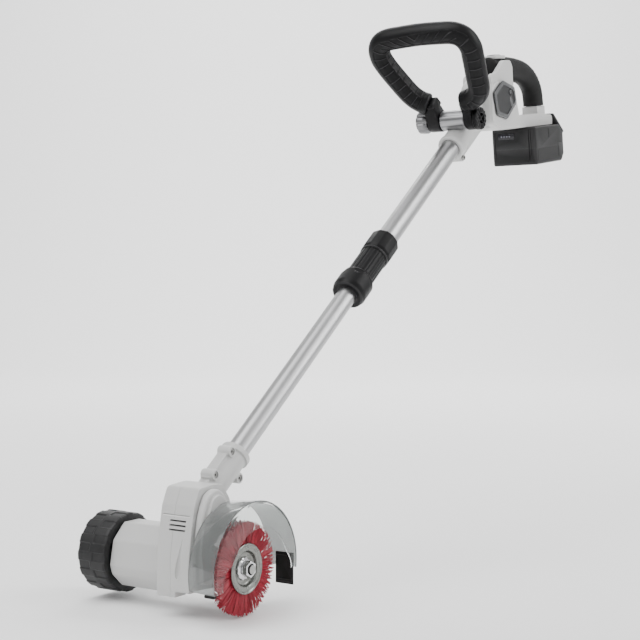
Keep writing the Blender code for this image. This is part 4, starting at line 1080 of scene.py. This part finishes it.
def finish_frame_nodes():
    """Finishes for the inner pieces, whose shapes are kept."""
    kept = {"ring_gear": DARK, "lock_cone": DARK, "terminal_block": DARK, "switch_body": BLACK,
            "control_board": BOARD, "motor_rotor": COPPER, "wheel_axle": STEEL}
    for name, node in frame["nodes"].items():
        if node.hide_render:
            continue
        chosen = kept.get(name, CELL if name.startswith("battery_cell") else STEEL)
        for slot in node.material_slots:
            slot.material = chosen


# ---- stage, lights and camera

def make_stage():
    """A pale floor that curves up into a wall, soft lights and the camera."""
    floor_z = min(corner[2] for corner in cad_box) - 0.0005
    outline = [(-6.0, floor_z), (3.2, floor_z)]
    outline += [(3.2 + 1.6 * sin(a), floor_z + 1.6 - 1.6 * cos(a))
                for a in [radians(90 * i / 24) for i in range(1, 25)]]
    outline.append((4.8, 5.0))
    mesh = bmesh.new()
    rows = [[mesh.verts.new((x, y, z)) for y, z in outline] for x in (-9.0, 9.0)]
    for index in range(len(outline) - 1):
        mesh.faces.new((rows[0][index], rows[1][index], rows[1][index + 1], rows[0][index + 1]))
    floor = new_object("studio_floor", mesh)
    floor.matrix_world = Matrix.Rotation(radians(33.7), 4, "Z")
    floor.data.shade_smooth()
    pale = finish("pale_floor", (0.96, 0.96, 0.96), 0.85, vary=0.01, patch=2.0)
    floor.data.materials.append(pale)
    world = bpy.data.worlds.new("studio")
    world.use_nodes = True
    tree = world.node_tree
    heading = node(tree, "SeparateXYZ")
    tree.links.new(node(tree, "TexCoord").outputs["Generated"], heading.inputs["Vector"])
    ramp = node(tree, "MapRange", From_Min=-1.0, To_Min=0.40, To_Max=1.10)
    tree.links.new(heading.outputs["X"], ramp.inputs["Value"])
    background = tree.nodes["Background"]
    background.inputs["Color"].default_value = (1.0, 1.0, 1.0, 1.0)
    tree.links.new(ramp.outputs["Result"], background.inputs["Strength"])
    bpy.context.scene.world = world
    middle = (0.0, -0.4, -0.3)
    lights = (("key", (-1.0, -2.3, 1.7), middle, (1.8, 1.8), 45.0),
              ("strip", (1.66, 0.57, 0.78), middle, (0.4, 1.8), 26.0),
              ("top", (-0.3, -1.2, 2.2), middle, (1.8, 1.8), 40.0),
              ("wall", (-1.4, 1.6, 2.2), (-1.8, 3.2, -0.2), (3.0, 1.5), 150.0))
    for name, at, aim, size, power in lights:
        light = bpy.data.lights.new(name, "AREA")
        light.shape = "RECTANGLE"
        light.size, light.size_y = size
        light.energy = power
        lamp = in_scene(name, light)
        lamp.location = at
        lamp.rotation_euler = (Vector(aim) - Vector(at)).to_track_quat("-Z", "Y").to_euler()
    camera = in_scene("camera", bpy.data.cameras.new("camera"))
    camera.data.lens = 76.75
    camera.data.sensor_width = 36.0
    camera.data.clip_end = 50.0
    forward = Vector((-0.55516, 0.83132, -0.02674))
    right = forward.cross(Vector((0.0, 0.0, 1.0))).normalized()
    up = right.cross(forward)
    turn = Matrix((right, up, -forward)).transposed()
    camera.matrix_world = Matrix.Translation((0.9262, -1.9376, -0.3278)) @ turn.to_4x4()
    bpy.context.scene.camera = camera


make_housing()
make_cover()
for number, (boss_along, boss_across) in enumerate(NECK_BOSSES):
    make_screw(f"neck_screw_{number + 1}", TUBE, boss_across, boss_along, -5.2, 8.3, 10.5, 3.6,
               "lower_assembly")
make_guard()
make_brush()
make_wheel()
make_tubes()
make_lock()
make_socket()
make_body()
make_panels()
make_grip()
make_loop()
make_clamp()
make_battery()
finish_frame_nodes()
make_stage()
